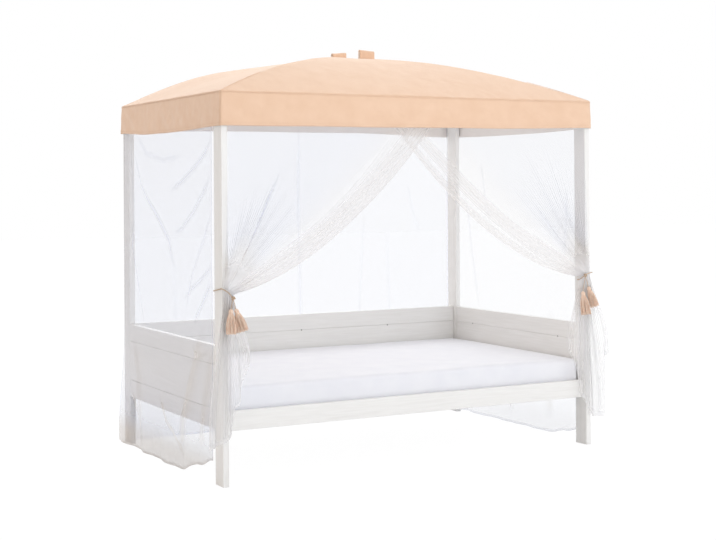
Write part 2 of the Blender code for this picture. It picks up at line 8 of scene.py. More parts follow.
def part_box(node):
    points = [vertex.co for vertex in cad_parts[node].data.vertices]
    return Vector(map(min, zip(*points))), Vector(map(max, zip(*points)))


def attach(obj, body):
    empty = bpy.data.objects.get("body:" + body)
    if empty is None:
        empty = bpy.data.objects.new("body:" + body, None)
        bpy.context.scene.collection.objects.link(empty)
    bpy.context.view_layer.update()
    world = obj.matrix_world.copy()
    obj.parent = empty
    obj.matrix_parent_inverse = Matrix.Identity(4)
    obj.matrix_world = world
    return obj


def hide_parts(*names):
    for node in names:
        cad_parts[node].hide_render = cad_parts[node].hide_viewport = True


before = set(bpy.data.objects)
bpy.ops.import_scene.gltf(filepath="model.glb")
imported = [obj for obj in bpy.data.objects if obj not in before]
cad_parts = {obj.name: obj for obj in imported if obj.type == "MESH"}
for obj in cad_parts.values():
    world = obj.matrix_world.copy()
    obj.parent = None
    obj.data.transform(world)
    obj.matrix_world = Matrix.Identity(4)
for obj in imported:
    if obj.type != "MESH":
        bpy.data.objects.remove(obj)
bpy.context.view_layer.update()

# The bed stands square to the axes, and its middle lies between its four posts.
# All places below are measured from that middle, at floor level.
low_post, high_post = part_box("post_front_left")[0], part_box("post_back_right")[1]
BED = Vector(((low_post.x + high_post.x) / 2, (low_post.y + high_post.y) / 2, 0.0))
HALF_LENGTH = (high_post.x - low_post.x) / 2
HALF_WIDTH = (high_post.y - low_post.y) / 2


# The room is a plain studio: a pale floor without edges and large soft lights.
# The camera stands at the photo's place, level, at the front left of the bed.
PHOTO_WIDE = 716
FOCAL_PIXELS = 1370.367
SHIFT_PIXELS = (9.07, -82.16)
SENSOR_WIDE = 36.0
CAMERA_PLACE = (-3.4577, -6.3243, 1.3363)
CAMERA_TURN = (28.4714, 0.0333, -0.3757)
FLOOR_GLOW = 1.03
FLOOR_GLOW_SHARE = 0.95
ROOM_FILL = 0.83


def add(name, data):
    """A new object in the scene, which stands at the origin, unturned."""
    thing = bpy.data.objects.new(name, data)
    bpy.context.scene.collection.objects.link(thing)
    return thing


def as_mesh(work, name):
    """Makes a mesh of the shape in a bmesh, which is then done with."""
    mesh = bpy.data.meshes.new(name)
    work.to_mesh(mesh)
    work.free()
    return mesh


def put(nodes, kind, **values):
    """A new shader node with values for its inputs. An underscore in a name stands for a space."""
    made = nodes.new("ShaderNode" + kind)
    for name, value in values.items():
        made.inputs[name.replace("_", " ")].default_value = value
    return made


def finish_nodes(name, roughness, sheen=0.0):
    """A new material, its nodes, its links and its main shader."""
    material = bpy.data.materials.new(name)
    material.use_nodes = True
    tree = material.node_tree
    shader = tree.nodes["Principled BSDF"]
    shader.inputs["Roughness"].default_value = roughness
    shader.inputs["Sheen Weight"].default_value = sheen
    shader.inputs["Sheen Roughness"].default_value = 0.5
    return material, tree.nodes, tree.links, shader


def studio_floor():
    work = bmesh.new()
    bmesh.ops.create_grid(work, x_segments=1, y_segments=1, size=30.0)
    floor = add("studio_floor", as_mesh(work, "studio_floor"))
    paint, nodes, links, shader = finish_nodes("pale_floor", 0.9)
    shader.inputs["Base Color"].default_value = (0.94, 0.94, 0.945, 1.0)
    shader.inputs["Specular IOR Level"].default_value = 0.1
    white = put(nodes, "Emission", Strength=FLOOR_GLOW)
    share = put(nodes, "Math")
    share.operation = "MULTIPLY"
    share.inputs[1].default_value = FLOOR_GLOW_SHARE
    links.new(put(nodes, "LightPath").outputs["Is Camera Ray"], share.inputs[0])
    mix = put(nodes, "MixShader")
    links.new(share.outputs["Value"], mix.inputs["Fac"])
    links.new(shader.outputs["BSDF"], mix.inputs[1])
    links.new(white.outputs["Emission"], mix.inputs[2])
    links.new(mix.outputs["Shader"], nodes["Material Output"].inputs["Surface"])
    floor.data.materials.append(paint)


def softbox(name, place, aim, width, height, watts):
    light = bpy.data.lights.new(name, "AREA")
    light.shape = "RECTANGLE"
    light.size, light.size_y = width, height
    light.energy = watts
    lamp = add(name, light)
    lamp.visible_camera = False
    lamp.location = BED + Vector(place)
    lamp.rotation_euler = (Vector(aim) - Vector(place)).to_track_quat("-Z", "Y").to_euler()


def photo_camera():
    yaw, pitch, roll = [radians(angle) for angle in CAMERA_TURN]
    ahead = Vector((sin(yaw) * cos(pitch), cos(yaw) * cos(pitch), sin(pitch)))
    right = Vector((cos(yaw), -sin(yaw), 0.0))
    up = right.cross(ahead)
    turned_right = right * cos(roll) + up * sin(roll)
    turned_up = up * cos(roll) - right * sin(roll)
    data = bpy.data.cameras.new("photo_camera")
    data.sensor_width = SENSOR_WIDE
    data.lens = FOCAL_PIXELS / PHOTO_WIDE * SENSOR_WIDE
    data.shift_x = SHIFT_PIXELS[0] / PHOTO_WIDE
    data.shift_y = SHIFT_PIXELS[1] / PHOTO_WIDE
    data.clip_end = 200.0
    camera = add("photo_camera", data)
    turn = Matrix((turned_right, turned_up, -ahead)).transposed()
    camera.rotation_euler = turn.to_euler()
    camera.location = BED + Vector(CAMERA_PLACE)
    bpy.context.scene.camera = camera


def studio_air():
    """White all round the camera, and a softer fill on the bed, a little warmer from the left."""
    world = bpy.data.worlds.new("studio_air")
    world.use_nodes = True
    nodes, links = world.node_tree.nodes, world.node_tree.links
    backdrop = nodes["Background"]
    backdrop.inputs["Color"].default_value = (1.0, 1.0, 1.0, 1.0)
    backdrop.inputs["Strength"].default_value = 1.0
    fill = put(nodes, "Background", Strength=ROOM_FILL)
    sides = put(nodes, "SeparateXYZ")
    links.new(put(nodes, "TexCoord").outputs["Generated"], sides.inputs["Vector"])
    warmth = put(nodes, "ValToRGB")
    warmth.color_ramp.elements[0].color = (1.0, 0.87, 0.76, 1.0)
    warmth.color_ramp.elements[1].position = 0.45
    warmth.color_ramp.elements[1].color = (0.90, 0.93, 0.965, 1.0)
    reach = put(nodes, "MapRange", From_Min=-1.0)
    links.new(sides.outputs["X"], reach.inputs["Value"])
    links.new(reach.outputs["Result"], warmth.inputs["Fac"])
    links.new(warmth.outputs["Color"], fill.inputs["Color"])
    mix = put(nodes, "MixShader")
    links.new(put(nodes, "LightPath").outputs["Is Camera Ray"], mix.inputs["Fac"])
    links.new(fill.outputs["Background"], mix.inputs[1])
    links.new(backdrop.outputs["Background"], mix.inputs[2])
    links.new(mix.outputs["Shader"], nodes["World Output"].inputs["Surface"])
    bpy.context.scene.world = world
    bpy.context.scene.view_settings.view_transform = "Standard"


studio_floor()
softbox("front_high_softbox", (-0.2, -4.2, 4.2), (0.0, 0.0, 0.8), 3.5, 2.5, 34.0)
softbox("front_low_softbox", (1.2, -5.5, 1.9), (0.0, 0.0, 0.9), 4.0, 2.5, 39.0)
softbox("right_softbox", (5.0, 0.6, 3.2), (0.0, 0.0, 0.9), 3.5, 3.0, 58.0)
softbox("top_softbox", (-0.3, 0.2, 5.5), (0.0, 0.0, 1.0), 5.0, 4.0, 34.0)
softbox("back_softbox", (0.5, 4.5, 3.5), (0.0, 0.0, 0.8), 4.0, 3.0, 120.0)
studio_air()
photo_camera()


# Two lengths of twisted beige cotton rope hold the front nets to the front posts.
# Each goes once round its post and the gathered net, and its ends meet in a wound knot.
STRAND = 0.0027
KNOT_STRAND = 0.0028
SAME_PLACE = 0.00002
LEFT_ROUTE = (
    (-1.0115, -0.7105, 0.8600), (-1.0220, -0.7090, 0.8730), (-1.0340, -0.7030, 0.8840),
    (-1.0408, -0.6880, 0.8900), (-1.0404, -0.6640, 0.8920), (-1.0395, -0.6200, 0.8850),
    (-1.0390, -0.5780, 0.8780), (-1.0350, -0.5668, 0.8765), (-1.0060, -0.5664, 0.8720),
    (-1.0016, -0.5750, 0.8700), (-1.0018, -0.6200, 0.8600), (-0.9960, -0.6500, 0.8530),
    (-0.9885, -0.6720, 0.8500), (-0.9870, -0.6900, 0.8480), (-0.9900, -0.7040, 0.8480),
    (-0.9952, -0.7110, 0.8500),
)
RIGHT_ROUTE = (
    (0.9755, -0.7070, 0.8880), (0.9920, -0.7065, 0.8930), (1.0100, -0.7010, 0.8950),
    (1.0250, -0.6900, 0.8950), (1.0345, -0.6760, 0.8940), (1.0395, -0.6600, 0.8920),
    (1.0396, -0.6200, 0.8860), (1.0390, -0.5780, 0.8800), (1.0350, -0.5668, 0.8785),
    (1.0060, -0.5664, 0.8765), (1.0016, -0.5750, 0.8750), (1.0010, -0.6200, 0.8680),
    (0.9850, -0.6480, 0.8640), (0.9560, -0.6620, 0.8610), (0.9440, -0.6740, 0.8600),
    (0.9430, -0.6860, 0.8610), (0.9480, -0.7000, 0.8680), (0.9580, -0.7075, 0.8790),
)
LEFT_KNOT = Vector((-1.0050, -0.7125, 0.8520))
RIGHT_KNOT = Vector((0.9670, -0.7090, 0.8830))


def smooth_route(points, step):
    """Evenly spaced points along a smooth curve through a short list of given ones."""
    ends = [points[0] * 2 - points[1], *points, points[-1] * 2 - points[-2]]
    fine = []
    for a, b, c, d in zip(ends, ends[1:], ends[2:], ends[3:]):
        for k in range(12):
            t = k / 12
            bow = a * 2 - b * 5 + c * 4 - d
            twist = b * 3 - a - c * 3 + d
            fine.append((b * 2 + (c - a) * t + bow * t**2 + twist * t**3) / 2)
    fine.append(points[-1])
    walked = [0.0]
    for a, b in zip(fine, fine[1:]):
        walked.append(walked[-1] + (b - a).length)
    count = max(2, round(walked[-1] / step))
    route, i = [], 0
    for k in range(count):
        goal = walked[-1] * k / count
        while walked[i + 1] < goal:
            i += 1
        route.append(fine[i].lerp(fine[i + 1], (goal - walked[i]) / (walked[i + 1] - walked[i])))
    return route + [points[-1]]


def yarns(name, lines, thick, rounding=1):
    """Round yarns along lines of (place, share of the thickness), made one mesh on the bed."""
    curve = bpy.data.curves.new(name, "CURVE")
    curve.dimensions = "3D"
    curve.bevel_depth = thick / 2
    curve.bevel_resolution = rounding
    curve.use_fill_caps = True
    for line in lines:
        spline = curve.splines.new("POLY")
        spline.points.add(len(line) - 1)
        for point, (place, share) in zip(spline.points, line):
            point.co = (*(place + BED), 1.0)
            point.radius = share
    holder = add(name, curve)
    seen = holder.evaluated_get(bpy.context.evaluated_depsgraph_get())
    mesh = bpy.data.meshes.new_from_object(seen)
    bpy.data.objects.remove(holder)
    bpy.data.curves.remove(curve)
    work = bmesh.new()
    work.from_mesh(mesh)
    bmesh.ops.remove_doubles(work, verts=work.verts, dist=SAME_PLACE)
    work.to_mesh(mesh)
    work.free()
    mesh.shade_smooth()
    return add(name, mesh)


def strand(route, offset, pitch, start):
    """One strand of a rope, which winds about the route at a small distance from it."""
    side = (route[1] - route[0]).cross(Vector((0.31, 0.27, 0.91))).normalized()
    walked, line = 0.0, []
    for i, place in enumerate(route):
        before, after = route[max(i - 1, 0)], route[min(i + 1, len(route) - 1)]
        ahead = (after - before).normalized()
        side = (side - ahead * side.dot(ahead)).normalized()
        if i:
            walked += (place - route[i - 1]).length
        turn = start + 2 * pi * walked / pitch
        line.append((place + (side * cos(turn) + ahead.cross(side) * sin(turn)) * offset, 1.0))
    return line


def mottled(nodes, links, shader, where, scale, dark, light, detail=4.0):
    """Colours a shader with noise between two tones, and gives back the noise."""
    noise_node = put(nodes, "TexNoise", Scale=scale, Detail=detail)
    links.new(where, noise_node.inputs["Vector"])
    tones = put(nodes, "ValToRGB")
    tones.color_ramp.elements[0].position = 0.3
    tones.color_ramp.elements[1].position = 0.7
    tones.color_ramp.elements[0].color = (*dark, 1.0)
    tones.color_ramp.elements[1].color = (*light, 1.0)
    links.new(noise_node.outputs["Fac"], tones.inputs["Fac"])
    links.new(tones.outputs["Color"], shader.inputs["Base Color"])
    return noise_node


def relief(nodes, links, onto, height, distance, strength):
    """Raises a surface by a pattern. It goes onto a shader, or onto another relief that lies over it."""
    bump = put(nodes, "Bump", Distance=distance, Strength=strength)
    links.new(height, bump.inputs["Height"])
    links.new(bump.outputs["Normal"], onto.inputs["Normal"])
    return bump


def spun_cotton(name, dark, light, fibre, drawn=1.0):
    """Soft spun yarn: fine uneven fibres with a little sheen, drawn out in height where they hang."""
    material, nodes, links, shader = finish_nodes(name, 0.92, 0.25)
    stretch = put(nodes, "Mapping", Scale=(1.0, 1.0, drawn))
    links.new(put(nodes, "TexCoord").outputs["Object"], stretch.inputs["Vector"])
    fibres = mottled(nodes, links, shader, stretch.outputs["Vector"], fibre, dark, light, 6.0)
    relief(nodes, links, shader, fibres.outputs["Fac"], 0.0006, 0.6)
    return material


def fit(piece, finish, slot, *nodes):
    """Gives a piece its finish, rides it on the bed, and lets it stand for its solid. Its slot argument is not
    used.
    """
    piece.data.materials.append(finish)
    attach(piece, "root")
    if nodes:
        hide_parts(*nodes)


def knot_route(knot):
    """A rope's way through its knot: two turns that pass over and under each other."""
    wound = []
    for step in range(181):
        turn = 4 * pi * step / 180
        reach = 0.0050 + 0.0028 * cos(1.5 * turn)
        across, deep, high = reach * cos(turn), reach * 0.8 * sin(turn), 0.0062 * sin(1.5 * turn + 0.4)
        wound.append(knot + Vector((across, deep, high)))
    return wound


rope_cotton = spun_cotton("beige_rope_cotton", (0.36, 0.25, 0.16), (0.68, 0.52, 0.38), 700.0)

for side_name, points, knot in (("left", LEFT_ROUTE, LEFT_KNOT), ("right", RIGHT_ROUTE, RIGHT_KNOT)):
    route = smooth_route([Vector(point) for point in points], 0.0016)
    strands = [strand(route, 0.00125, 0.013, k * 2 * pi / 3) for k in range(3)]
    rope = yarns("rope_" + side_name, strands, STRAND)
    fit(rope, rope_cotton, "tie_rope", "tie_cord_" + side_name)
    wound = knot_route(knot)
    strands = [strand(wound, 0.00115, 0.012, k * 2 * pi / 3) for k in range(3)]
    knot_rope = yarns("knot_" + side_name, strands, KNOT_STRAND)
    fit(knot_rope, rope_cotton, "tie_rope", "tie_knot_" + side_name)


# Two tassels of peach yarn hang from each knot on short stems of the same rope.
# A tassel is a bundle of cut yarn, folded over the stem and bound into a round head.
# Tassels: (name, knot, middle of the head, middle of the skirt's end, the skirt's radius there)
TASSELS = (
    ("left_a", LEFT_KNOT, (-1.0200, -0.7220, 0.8000), (-1.0235, -0.7380, 0.6945), 0.0245),
    ("left_b", LEFT_KNOT, (-0.9935, -0.7200, 0.8000), (-0.9640, -0.7280, 0.7040), 0.0265),
    ("right_a", RIGHT_KNOT, (0.9450, -0.7160, 0.7970), (0.9520, -0.7350, 0.6840), 0.0260),
    ("right_b", RIGHT_KNOT, (0.9830, -0.7130, 0.8200), (1.0180, -0.7220, 0.7220), 0.0230),
)
YARNS_IN_SKIRT = 150
GOLDEN_TURN = 2.39996
LOCKS = 8
SKIRT_START = 0.012
BOUND_RADIUS = 0.0072
BINDING_TURNS = 12
# The yarns stray as noise.noise_vector says, and without a seed it gives other numbers in each run.
YARN_SEED = 3


def tassel_lines(head, end, radius):
    """The skirt's yarns, which part into locks, and the yarn that is wound about the head."""
    axis = (end - head).normalized()
    right = axis.cross(Vector((0, 1, 0))).normalized()
    up = axis.cross(right)
    hang_length = (end - head).length - SKIRT_START
    skirt = []
    for i in range(YARNS_IN_SKIRT):
        ring = ((i + 0.5) / YARNS_IN_SKIRT) ** 0.5
        turn = i * GOLDEN_TURN
        ring *= 1 - 0.09 * cos(LOCKS * turn)
        turn += 0.95 * sin(LOCKS * turn) / LOCKS
        stray = noise.noise_vector((i * 0.37, radius * 90, 1.7))
        length = hang_length * (1.0 - 0.05 * abs(stray.z)) + 0.004 * stray.x
        line = []
        for k in range(11):
            t = k / 10
            swell = 1 - (1 - t) ** 2.8
            reach = BOUND_RADIUS * ring + (radius * 0.96 - BOUND_RADIUS) * ring * swell
            curl = noise.noise_vector((i * 1.31, t * 2.2, radius * 50)) * 0.0022 * t
            out = right * cos(turn + 0.25 * t * stray.y) + up * sin(turn + 0.25 * t * stray.y)
            line.append((head + axis * (SKIRT_START + length * t) + out * reach + curl, 1.0 - 0.25 * t))
        skirt.append(line)
    binding = []
    for k in range(300):
        t = k / 299
        if t < 0.2:
            reach = 0.001 + 0.0056 * t / 0.2
            along = -0.004 + 0.003 * (t / 0.2) ** 2
        else:
            s = (t - 0.2) / 0.8
            reach = 0.0066 + 0.0030 * sin(pi * min(s * 1.25, 1.0)) ** 0.8 + 0.001 * s
            along = -0.001 + 0.021 * s
        turn = 2 * pi * BINDING_TURNS * t
        binding.append((head + axis * along + (right * cos(turn) + up * sin(turn)) * reach, 1.0))
    return skirt, binding


noise.seed_set(YARN_SEED)
tassel_yarn = spun_cotton("peach_tassel_yarn", (0.78, 0.47, 0.32), (1.0, 0.90, 0.78), 330.0, 0.10)

for tassel_name, knot, head, end, radius in TASSELS:
    head, end = Vector(head), Vector(end)
    skirt, binding = tassel_lines(head, end, radius)
    tassel = yarns("tassel_skirt_" + tassel_name, skirt, 0.0025, 0)
    top = yarns("tassel_head_" + tassel_name, [binding], 0.0024)
    away = (head - knot).normalized()
    stem_route = [(knot + away * 0.006).lerp(head - away * 0.002, k / 24) for k in range(25)]
    strands = [strand(stem_route, 0.00095, 0.010, k * pi) for k in range(2)]
    stem = yarns("tassel_stem_" + tassel_name, strands, 0.0022)
    fit(tassel, tassel_yarn, "tassel_yarn", "tassel_" + tassel_name)
    fit(top, tassel_yarn, "tassel_yarn", "tassel_" + tassel_name)
    fit(stem, rope_cotton, "tie_rope", "tassel_" + tassel_name)


# The bed's four posts are square-edged bars of solid wood under white satin lacquer.
# Boards three high close each end and the back, and one rail closes the front.
def lacquer(name, stretch):
    """White lacquer that shows a trace of the grain below, which runs where stretch is least."""
    material, nodes, links, shader = finish_nodes(name, 0.38)
    shader.inputs["Specular IOR Level"].default_value = 0.4
    mapping = put(nodes, "Mapping", Scale=stretch)
    links.new(put(nodes, "TexCoord").outputs["Object"], mapping.inputs["Vector"])
    dark, light = (0.815, 0.805, 0.785), (0.865, 0.858, 0.842)
    grain = mottled(nodes, links, shader, mapping.outputs["Vector"], 1.0, dark, light, 7.0)
    grain.inputs["Distortion"].default_value = 0.6
    relief(nodes, links, shader, grain.outputs["Fac"], 0.0005, 0.35)
    polish = put(nodes, "MapRange", To_Min=0.30, To_Max=0.48)
    links.new(grain.outputs["Fac"], polish.inputs["Value"])
    links.new(polish.outputs["Result"], shader.inputs["Roughness"])
    return material


GRAIN = {
    "x": lacquer("lacquer_grain_lengthwise", (5.0, 90.0, 90.0)),
    "y": lacquer("lacquer_grain_crosswise", (90.0, 5.0, 90.0)),
    "z": lacquer("lacquer_grain_upright", (90.0, 90.0, 5.0)),
}


def timber(node, along, edge):
    """A bar or board with softly rounded edges, as large as its solid."""
    low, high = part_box(node)
    work = bmesh.new()
    bmesh.ops.create_cube(work, size=1.0)
    bmesh.ops.scale(work, vec=high - low, verts=work.verts)
    bmesh.ops.translate(work, vec=(high + low) / 2, verts=work.verts)
    rounded = bmesh.ops.bevel(
        work, geom=work.edges[:], offset=edge, segments=3, profile=0.5, affect="EDGES", material=-1
    )
    for face in rounded["faces"]:
        face.smooth = True
    piece = add("painted_" + node, as_mesh(work, "painted_" + node))
    fit(piece, GRAIN[along], "lacquered_wood", node)


for post in ("front_left", "front_right", "back_left", "back_right"):
    timber("post_" + post, "z", 0.0020)
for level in ("low", "middle", "top"):
    timber("end_board_left_" + level, "y", 0.0026)
    timber("end_board_right_" + level, "y", 0.0026)
    timber("back_board_" + level, "x", 0.0026)
timber("side_rail_front", "x", 0.0022)


# Short steel dowels with grey caps join the boards edge to edge, at the middle joint.
# Two show on the back's inner face and two on the right end's.
CAPS = (
    ("back_one", (-0.0119, 0.6020, 0.5405), "y"),
    ("back_two", (0.5479, 0.6020, 0.5405), "y"),
    ("end_one", (1.0070, 0.3979, 0.5415), "x"),
    ("end_two", (1.0070, -0.4186, 0.5415), "x"),
)
# From the cap's middle out over its edge and into the board: (radius, height)
CAP_OUTLINE = ((0.0001, 0.0007), (0.0032, 0.0007), (0.0042, 0.0003), (0.0042, -0.002))
CAP_FACES = 20
cap_grey, nodes, links, shader = finish_nodes("dowel_cap_grey", 0.5)
cap_place = put(nodes, "TexCoord").outputs["Object"]
mottled(nodes, links, shader, cap_place, 900.0, (0.30, 0.29, 0.28), (0.42, 0.41, 0.39))

for cap_name, centre, facing in CAPS:
    work = bmesh.new()
    profile = [work.verts.new((r, 0.0, z)) for r, z in CAP_OUTLINE]
    rim = [work.edges.new(pair) for pair in zip(profile, profile[1:])]
    bmesh.ops.spin(
        work, geom=profile + rim, cent=(0, 0, 0), axis=(0, 0, 1), angle=2 * pi, steps=CAP_FACES, use_merge=True
    )
    bmesh.ops.remove_doubles(work, verts=work.verts, dist=0.00015)
    bmesh.ops.recalc_face_normals(work, faces=work.faces)
    turn = Matrix.Rotation(radians(90), 4, "X") if facing == "y" else Matrix.Rotation(radians(-90), 4, "Y")
    bmesh.ops.transform(work, matrix=Matrix.Translation(Vector(centre) + BED) @ turn, verts=work.verts)
    cap = add("dowel_cap_" + cap_name, as_mesh(work, "dowel_cap_" + cap_name))
    cap.data.shade_smooth()
    cap.data.materials.append(cap_grey)
    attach(cap, "root")


# Four slim rails between the post tops carry the cloth, and two bent battens hold up its crown.
# They and the slatted base under the mattress are the same lacquered wood.
for node, along in (
    ("top_rail_front", "x"), ("top_rail_back", "x"), ("top_rail_left", "y"), ("top_rail_right", "y"),
    ("roof_bows", "x"), ("slatted_base", "y"),
):
    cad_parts[node].data.materials.clear()
    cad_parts[node].data.materials.append(GRAIN[along])


# The mattress is foam in a smooth white cotton cover with round edges.
# It lies loose on the slats, a little crowned, and the cover creases softly at its corners.
def mattress_cotton():
    """Smooth white cotton with fine close threads."""
    material, nodes, links, shader = finish_nodes("white_mattress_cotton", 0.9, 0.15)
    place = put(nodes, "TexCoord").outputs["Object"]
    mottled(nodes, links, shader, place, 9.0, (0.81, 0.815, 0.86), (0.845, 0.85, 0.885))
    threads = put(nodes, "TexWave", Scale=260.0, Distortion=1.2, Detail=2.0)
    links.new(place, threads.inputs["Vector"])
    relief(nodes, links, shader, threads.outputs["Fac"], 0.0003, 0.25)
    return material


def soft_block(node, round_edge, cuts):
    """A padded block with round edges, its top crowned and slack, its corners creased."""
    low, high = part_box(node)
    half, middle = (high - low) / 2, (high + low) / 2
    work = bmesh.new()
    bmesh.ops.create_cube(work, size=2.0)
    bmesh.ops.subdivide_edges(work, edges=work.edges[:], cuts=cuts, use_grid_fill=True)
    for vert in work.verts:
        spread = Vector([0.25 * s + 0.75 * sin(s * pi / 2) for s in vert.co])
        place = Vector([s * h for s, h in zip(spread, half)])
        core = Vector([min(max(p, round_edge - h), h - round_edge) for p, h in zip(place, half)])
        away = place - core
        if away.length > 0:
            place = core + away.normalized() * round_edge
        x, y = place.x / half.x, place.y / half.y
        inner = (1 - x * x) * (1 - y * y)
        crown = min(max(place.z / half.z, 0.0), 1.0) ** 2
        place.z -= 0.0035 * (1 - inner ** 0.5) * crown
        slack = noise.noise((place.x * 2.4, place.y * 3.1, place.z * 5)) * 0.0022
        corner = exp(-(((1 - abs(x)) / 0.12) ** 2) - ((1 - abs(y)) / 0.16) ** 2)
        crease = corner * 0.002 * sin(55 * (place.x + place.y) + 9 * place.z)
        place += Vector((place.x / half.x, place.y / half.y, 0)) * crease
        place.z += slack * crown
        vert.co = middle + place
    mesh = as_mesh(work, "mattress_cover")
    mesh.shade_smooth()
    return mesh


mattress = add("mattress_cover", soft_block("mattress", 0.026, 63))
fit(mattress, mattress_cotton(), "mattress_cotton", "mattress")


# The roof is one skin of four peach cotton panels, sewn along the hips and drawn over the bows.
# It sags a little between the hips, and a piped seam joins it to the valance at the eave.
EAVE_Z = 1.779
CROWN_RISE = 0.241
HIP_POWER = 1.85
ROOF_HALF_X = HALF_LENGTH + 0.0085
ROOF_HALF_Y = HALF_WIDTH + 0.0085
PANEL_SAG = 0.007
FULLNESS = 0.024
FULL_AT = (-0.70, 0.44)
FULL_REACH = (0.30, 0.25)
CORNER_RADIUS = 0.014
CLOTH = 0.0018


def on_cloth(nodes):
    """Places on the flat cloth, as it was before it was hung."""
    flat = put(nodes, "UVMap")
    flat.uv_map = "flat_cloth"
    return flat.outputs["UV"]


def peach_cotton():
    """Plain woven cotton, dyed peach: fine crossed threads, slight slubs and soft rumples."""
    material, nodes, links, shader = finish_nodes("peach_canopy_cotton", 0.88, 0.50)
    shader.inputs["Sheen Tint"].default_value = (1.0, 0.93, 0.86, 1.0)
    flat = on_cloth(nodes)
    slubs = mottled(nodes, links, shader, flat, 14.0, (0.800, 0.545, 0.380), (0.840, 0.590, 0.425), 8.0)
    weave = put(nodes, "Math")
    weave.operation = "MULTIPLY"
    for direction, socket in zip(("X", "Y"), weave.inputs):
        wave = put(nodes, "TexWave", Scale=330.0, Distortion=0.8, Detail=1.0)
        wave.bands_direction = direction
        links.new(flat, wave.inputs["Vector"])
        links.new(wave.outputs["Fac"], socket)
    fine = relief(nodes, links, shader, weave.outputs["Value"], 0.0004, 0.35)
    coarse = relief(nodes, links, fine, slubs.outputs["Fac"], 0.0012, 0.25)
    creases = put(nodes, "TexNoise", Scale=6.5, Detail=3.0, Distortion=1.6)
    links.new(flat, creases.inputs["Vector"])
    relief(nodes, links, coarse, creases.outputs["Fac"], 0.012, 0.35)
    return material


def painted_light_reverse():
    """The cloth's inner side: the same weave in near-white peach. It is painted paler than the outer face as
    painted light, standing in for light that passes through the thin cotton into the shaded canopy.
    """
    material, nodes, links, shader = finish_nodes("canopy_reverse_painted_light", 0.9, 0.2)
    dark, light = (0.940, 0.865, 0.790), (0.970, 0.905, 0.835)
    slubs = mottled(nodes, links, shader, on_cloth(nodes), 14.0, dark, light, 8.0)
    relief(nodes, links, shader, slubs.outputs["Fac"], 0.0010, 0.3)
    return material


canopy_cotton = peach_cotton()
# The inner side's material is painted paler: painted light for the canopy's shaded inside.
reverse_painted_light = painted_light_reverse()


def ramp(value, start, end):
    """0 before start, 1 after end, and smooth between them."""
    t = min(max((value - start) / (end - start), 0.0), 1.0)
    return t * t * (3 - 2 * t)


def sign(value):
    return 1 if value > 0 else -1


def roof_height(x, y):
    """Height of the roof's outer face. It sags a little between the hips and bags over the back left one."""
    across = abs(x) / ROOF_HALF_X
    along = abs(y) / ROOF_HALF_Y
    reach = max(across, along)
    height = EAVE_Z + CROWN_RISE * (1 - min(reach, 1.0) ** HIP_POWER)
    share = min(across, along) / max(reach, 0.001)
    near_x, near_y = (x - FULL_AT[0]) / FULL_REACH[0], (y - FULL_AT[1]) / FULL_REACH[1]
    full = FULLNESS * exp(-(near_x**2) - near_y**2) * ramp(1 - reach, 0.0, 0.12)
    return height + full - PANEL_SAG * 4 * reach * (1 - reach) * (1 - share**2)


def cloth(name, columns, rows, flat, shape):
    """A fine sheet of cloth. shape(u, v) gives each place, how much light it stops and how much painted light
    and shade is in its colour.
    """
    work = bmesh.new()
    bmesh.ops.create_grid(work, x_segments=columns, y_segments=rows, size=0.5)
    lying = work.loops.layers.uv.new("flat_cloth")
    cover = work.verts.layers.float.new("cover")
    painted_light = work.verts.layers.float.new("painted_light")
    spots = {vert: (vert.co.x + 0.5, vert.co.y + 0.5) for vert in work.verts}
    for face in work.faces:
        for corner in face.loops:
            u, v = spots[corner.vert]
            corner[lying].uv = (u * flat[0], v * flat[1])
    for vert, (u, v) in spots.items():
        place, vert[cover], vert[painted_light] = shape(u, v)
        vert.co = Vector(place) + BED
    bmesh.ops.remove_doubles(work, verts=work.verts, dist=SAME_PLACE)
    mesh = as_mesh(work, name)
    mesh.shade_smooth()
    return add(name, mesh)


def thicken(piece, thick):
    """Gives cloth a wall, whose inner side has the piece's second material."""
    wall = piece.modifiers.new("cloth_thickness", "SOLIDIFY")
    wall.thickness = thick
    wall.offset = -1.0
    wall.material_offset = 1


def canopy_piece(piece, node):
    fit(piece, canopy_cotton, "canopy_cotton", node)
    # The second material, on the inner side, is painted paler: painted light in the canopy's shade.
    piece.data.materials.append(reverse_painted_light)


def roof_shape(u, v):
    x, y = (u * 2 - 1) * ROOF_HALF_X, (v * 2 - 1) * ROOF_HALF_Y
    over_x = max(abs(x) - (ROOF_HALF_X - CORNER_RADIUS), 0.0)
    over_y = max(abs(y) - (ROOF_HALF_Y - CORNER_RADIUS), 0.0)
    if over_x and over_y:
        shrink = max(over_x, over_y) / (over_x**2 + over_y**2) ** 0.5
        x -= over_x * (1 - shrink) * sign(x)
        y -= over_y * (1 - shrink) * sign(y)
    reach = max(abs(x) / ROOF_HALF_X, abs(y) / ROOF_HALF_Y)
    slack = noise.noise((x * 3.2, y * 3.9, 4.1)) * 0.0030 + noise.noise((x * 11, y * 12, 7.7)) * 0.0010
    along_eave = x if abs(y) / ROOF_HALF_Y > abs(x) / ROOF_HALF_X else y
    puckers = noise.noise((along_eave * 34, 0.5, 2.2))
    slack += puckers * 0.0022 * ramp(reach, 0.90, 0.99) * (1 - ramp(reach, 0.992, 1.0))
    return (x, y, roof_height(x, y) + slack * (1 - ramp(reach, 0.985, 1.0))), 1.0, 1.0


roof_cloth = cloth("roof_cloth", 150, 150, (2.09, 1.34), roof_shape)
thicken(roof_cloth, 0.0014)
canopy_piece(roof_cloth, "roof")


# A straight band of the same cotton, hemmed below, is sewn all round the eave.
# It hides the rails, and its hem is a little uneven. A piping covers the seam and the hips are welted.
# Hem: (side count from the front left corner, height above the floor)
HEM = (
    (0.0, 1.622), (0.35, 1.626), (0.70, 1.631), (1.0, 1.641),
    (1.4, 1.634), (1.75, 1.633), (2.0, 1.640),
    (2.3, 1.658), (2.7, 1.657), (2.93, 1.650), (3.0, 1.634),
    (3.3, 1.617), (3.6, 1.614), (4.0, 1.622),
)


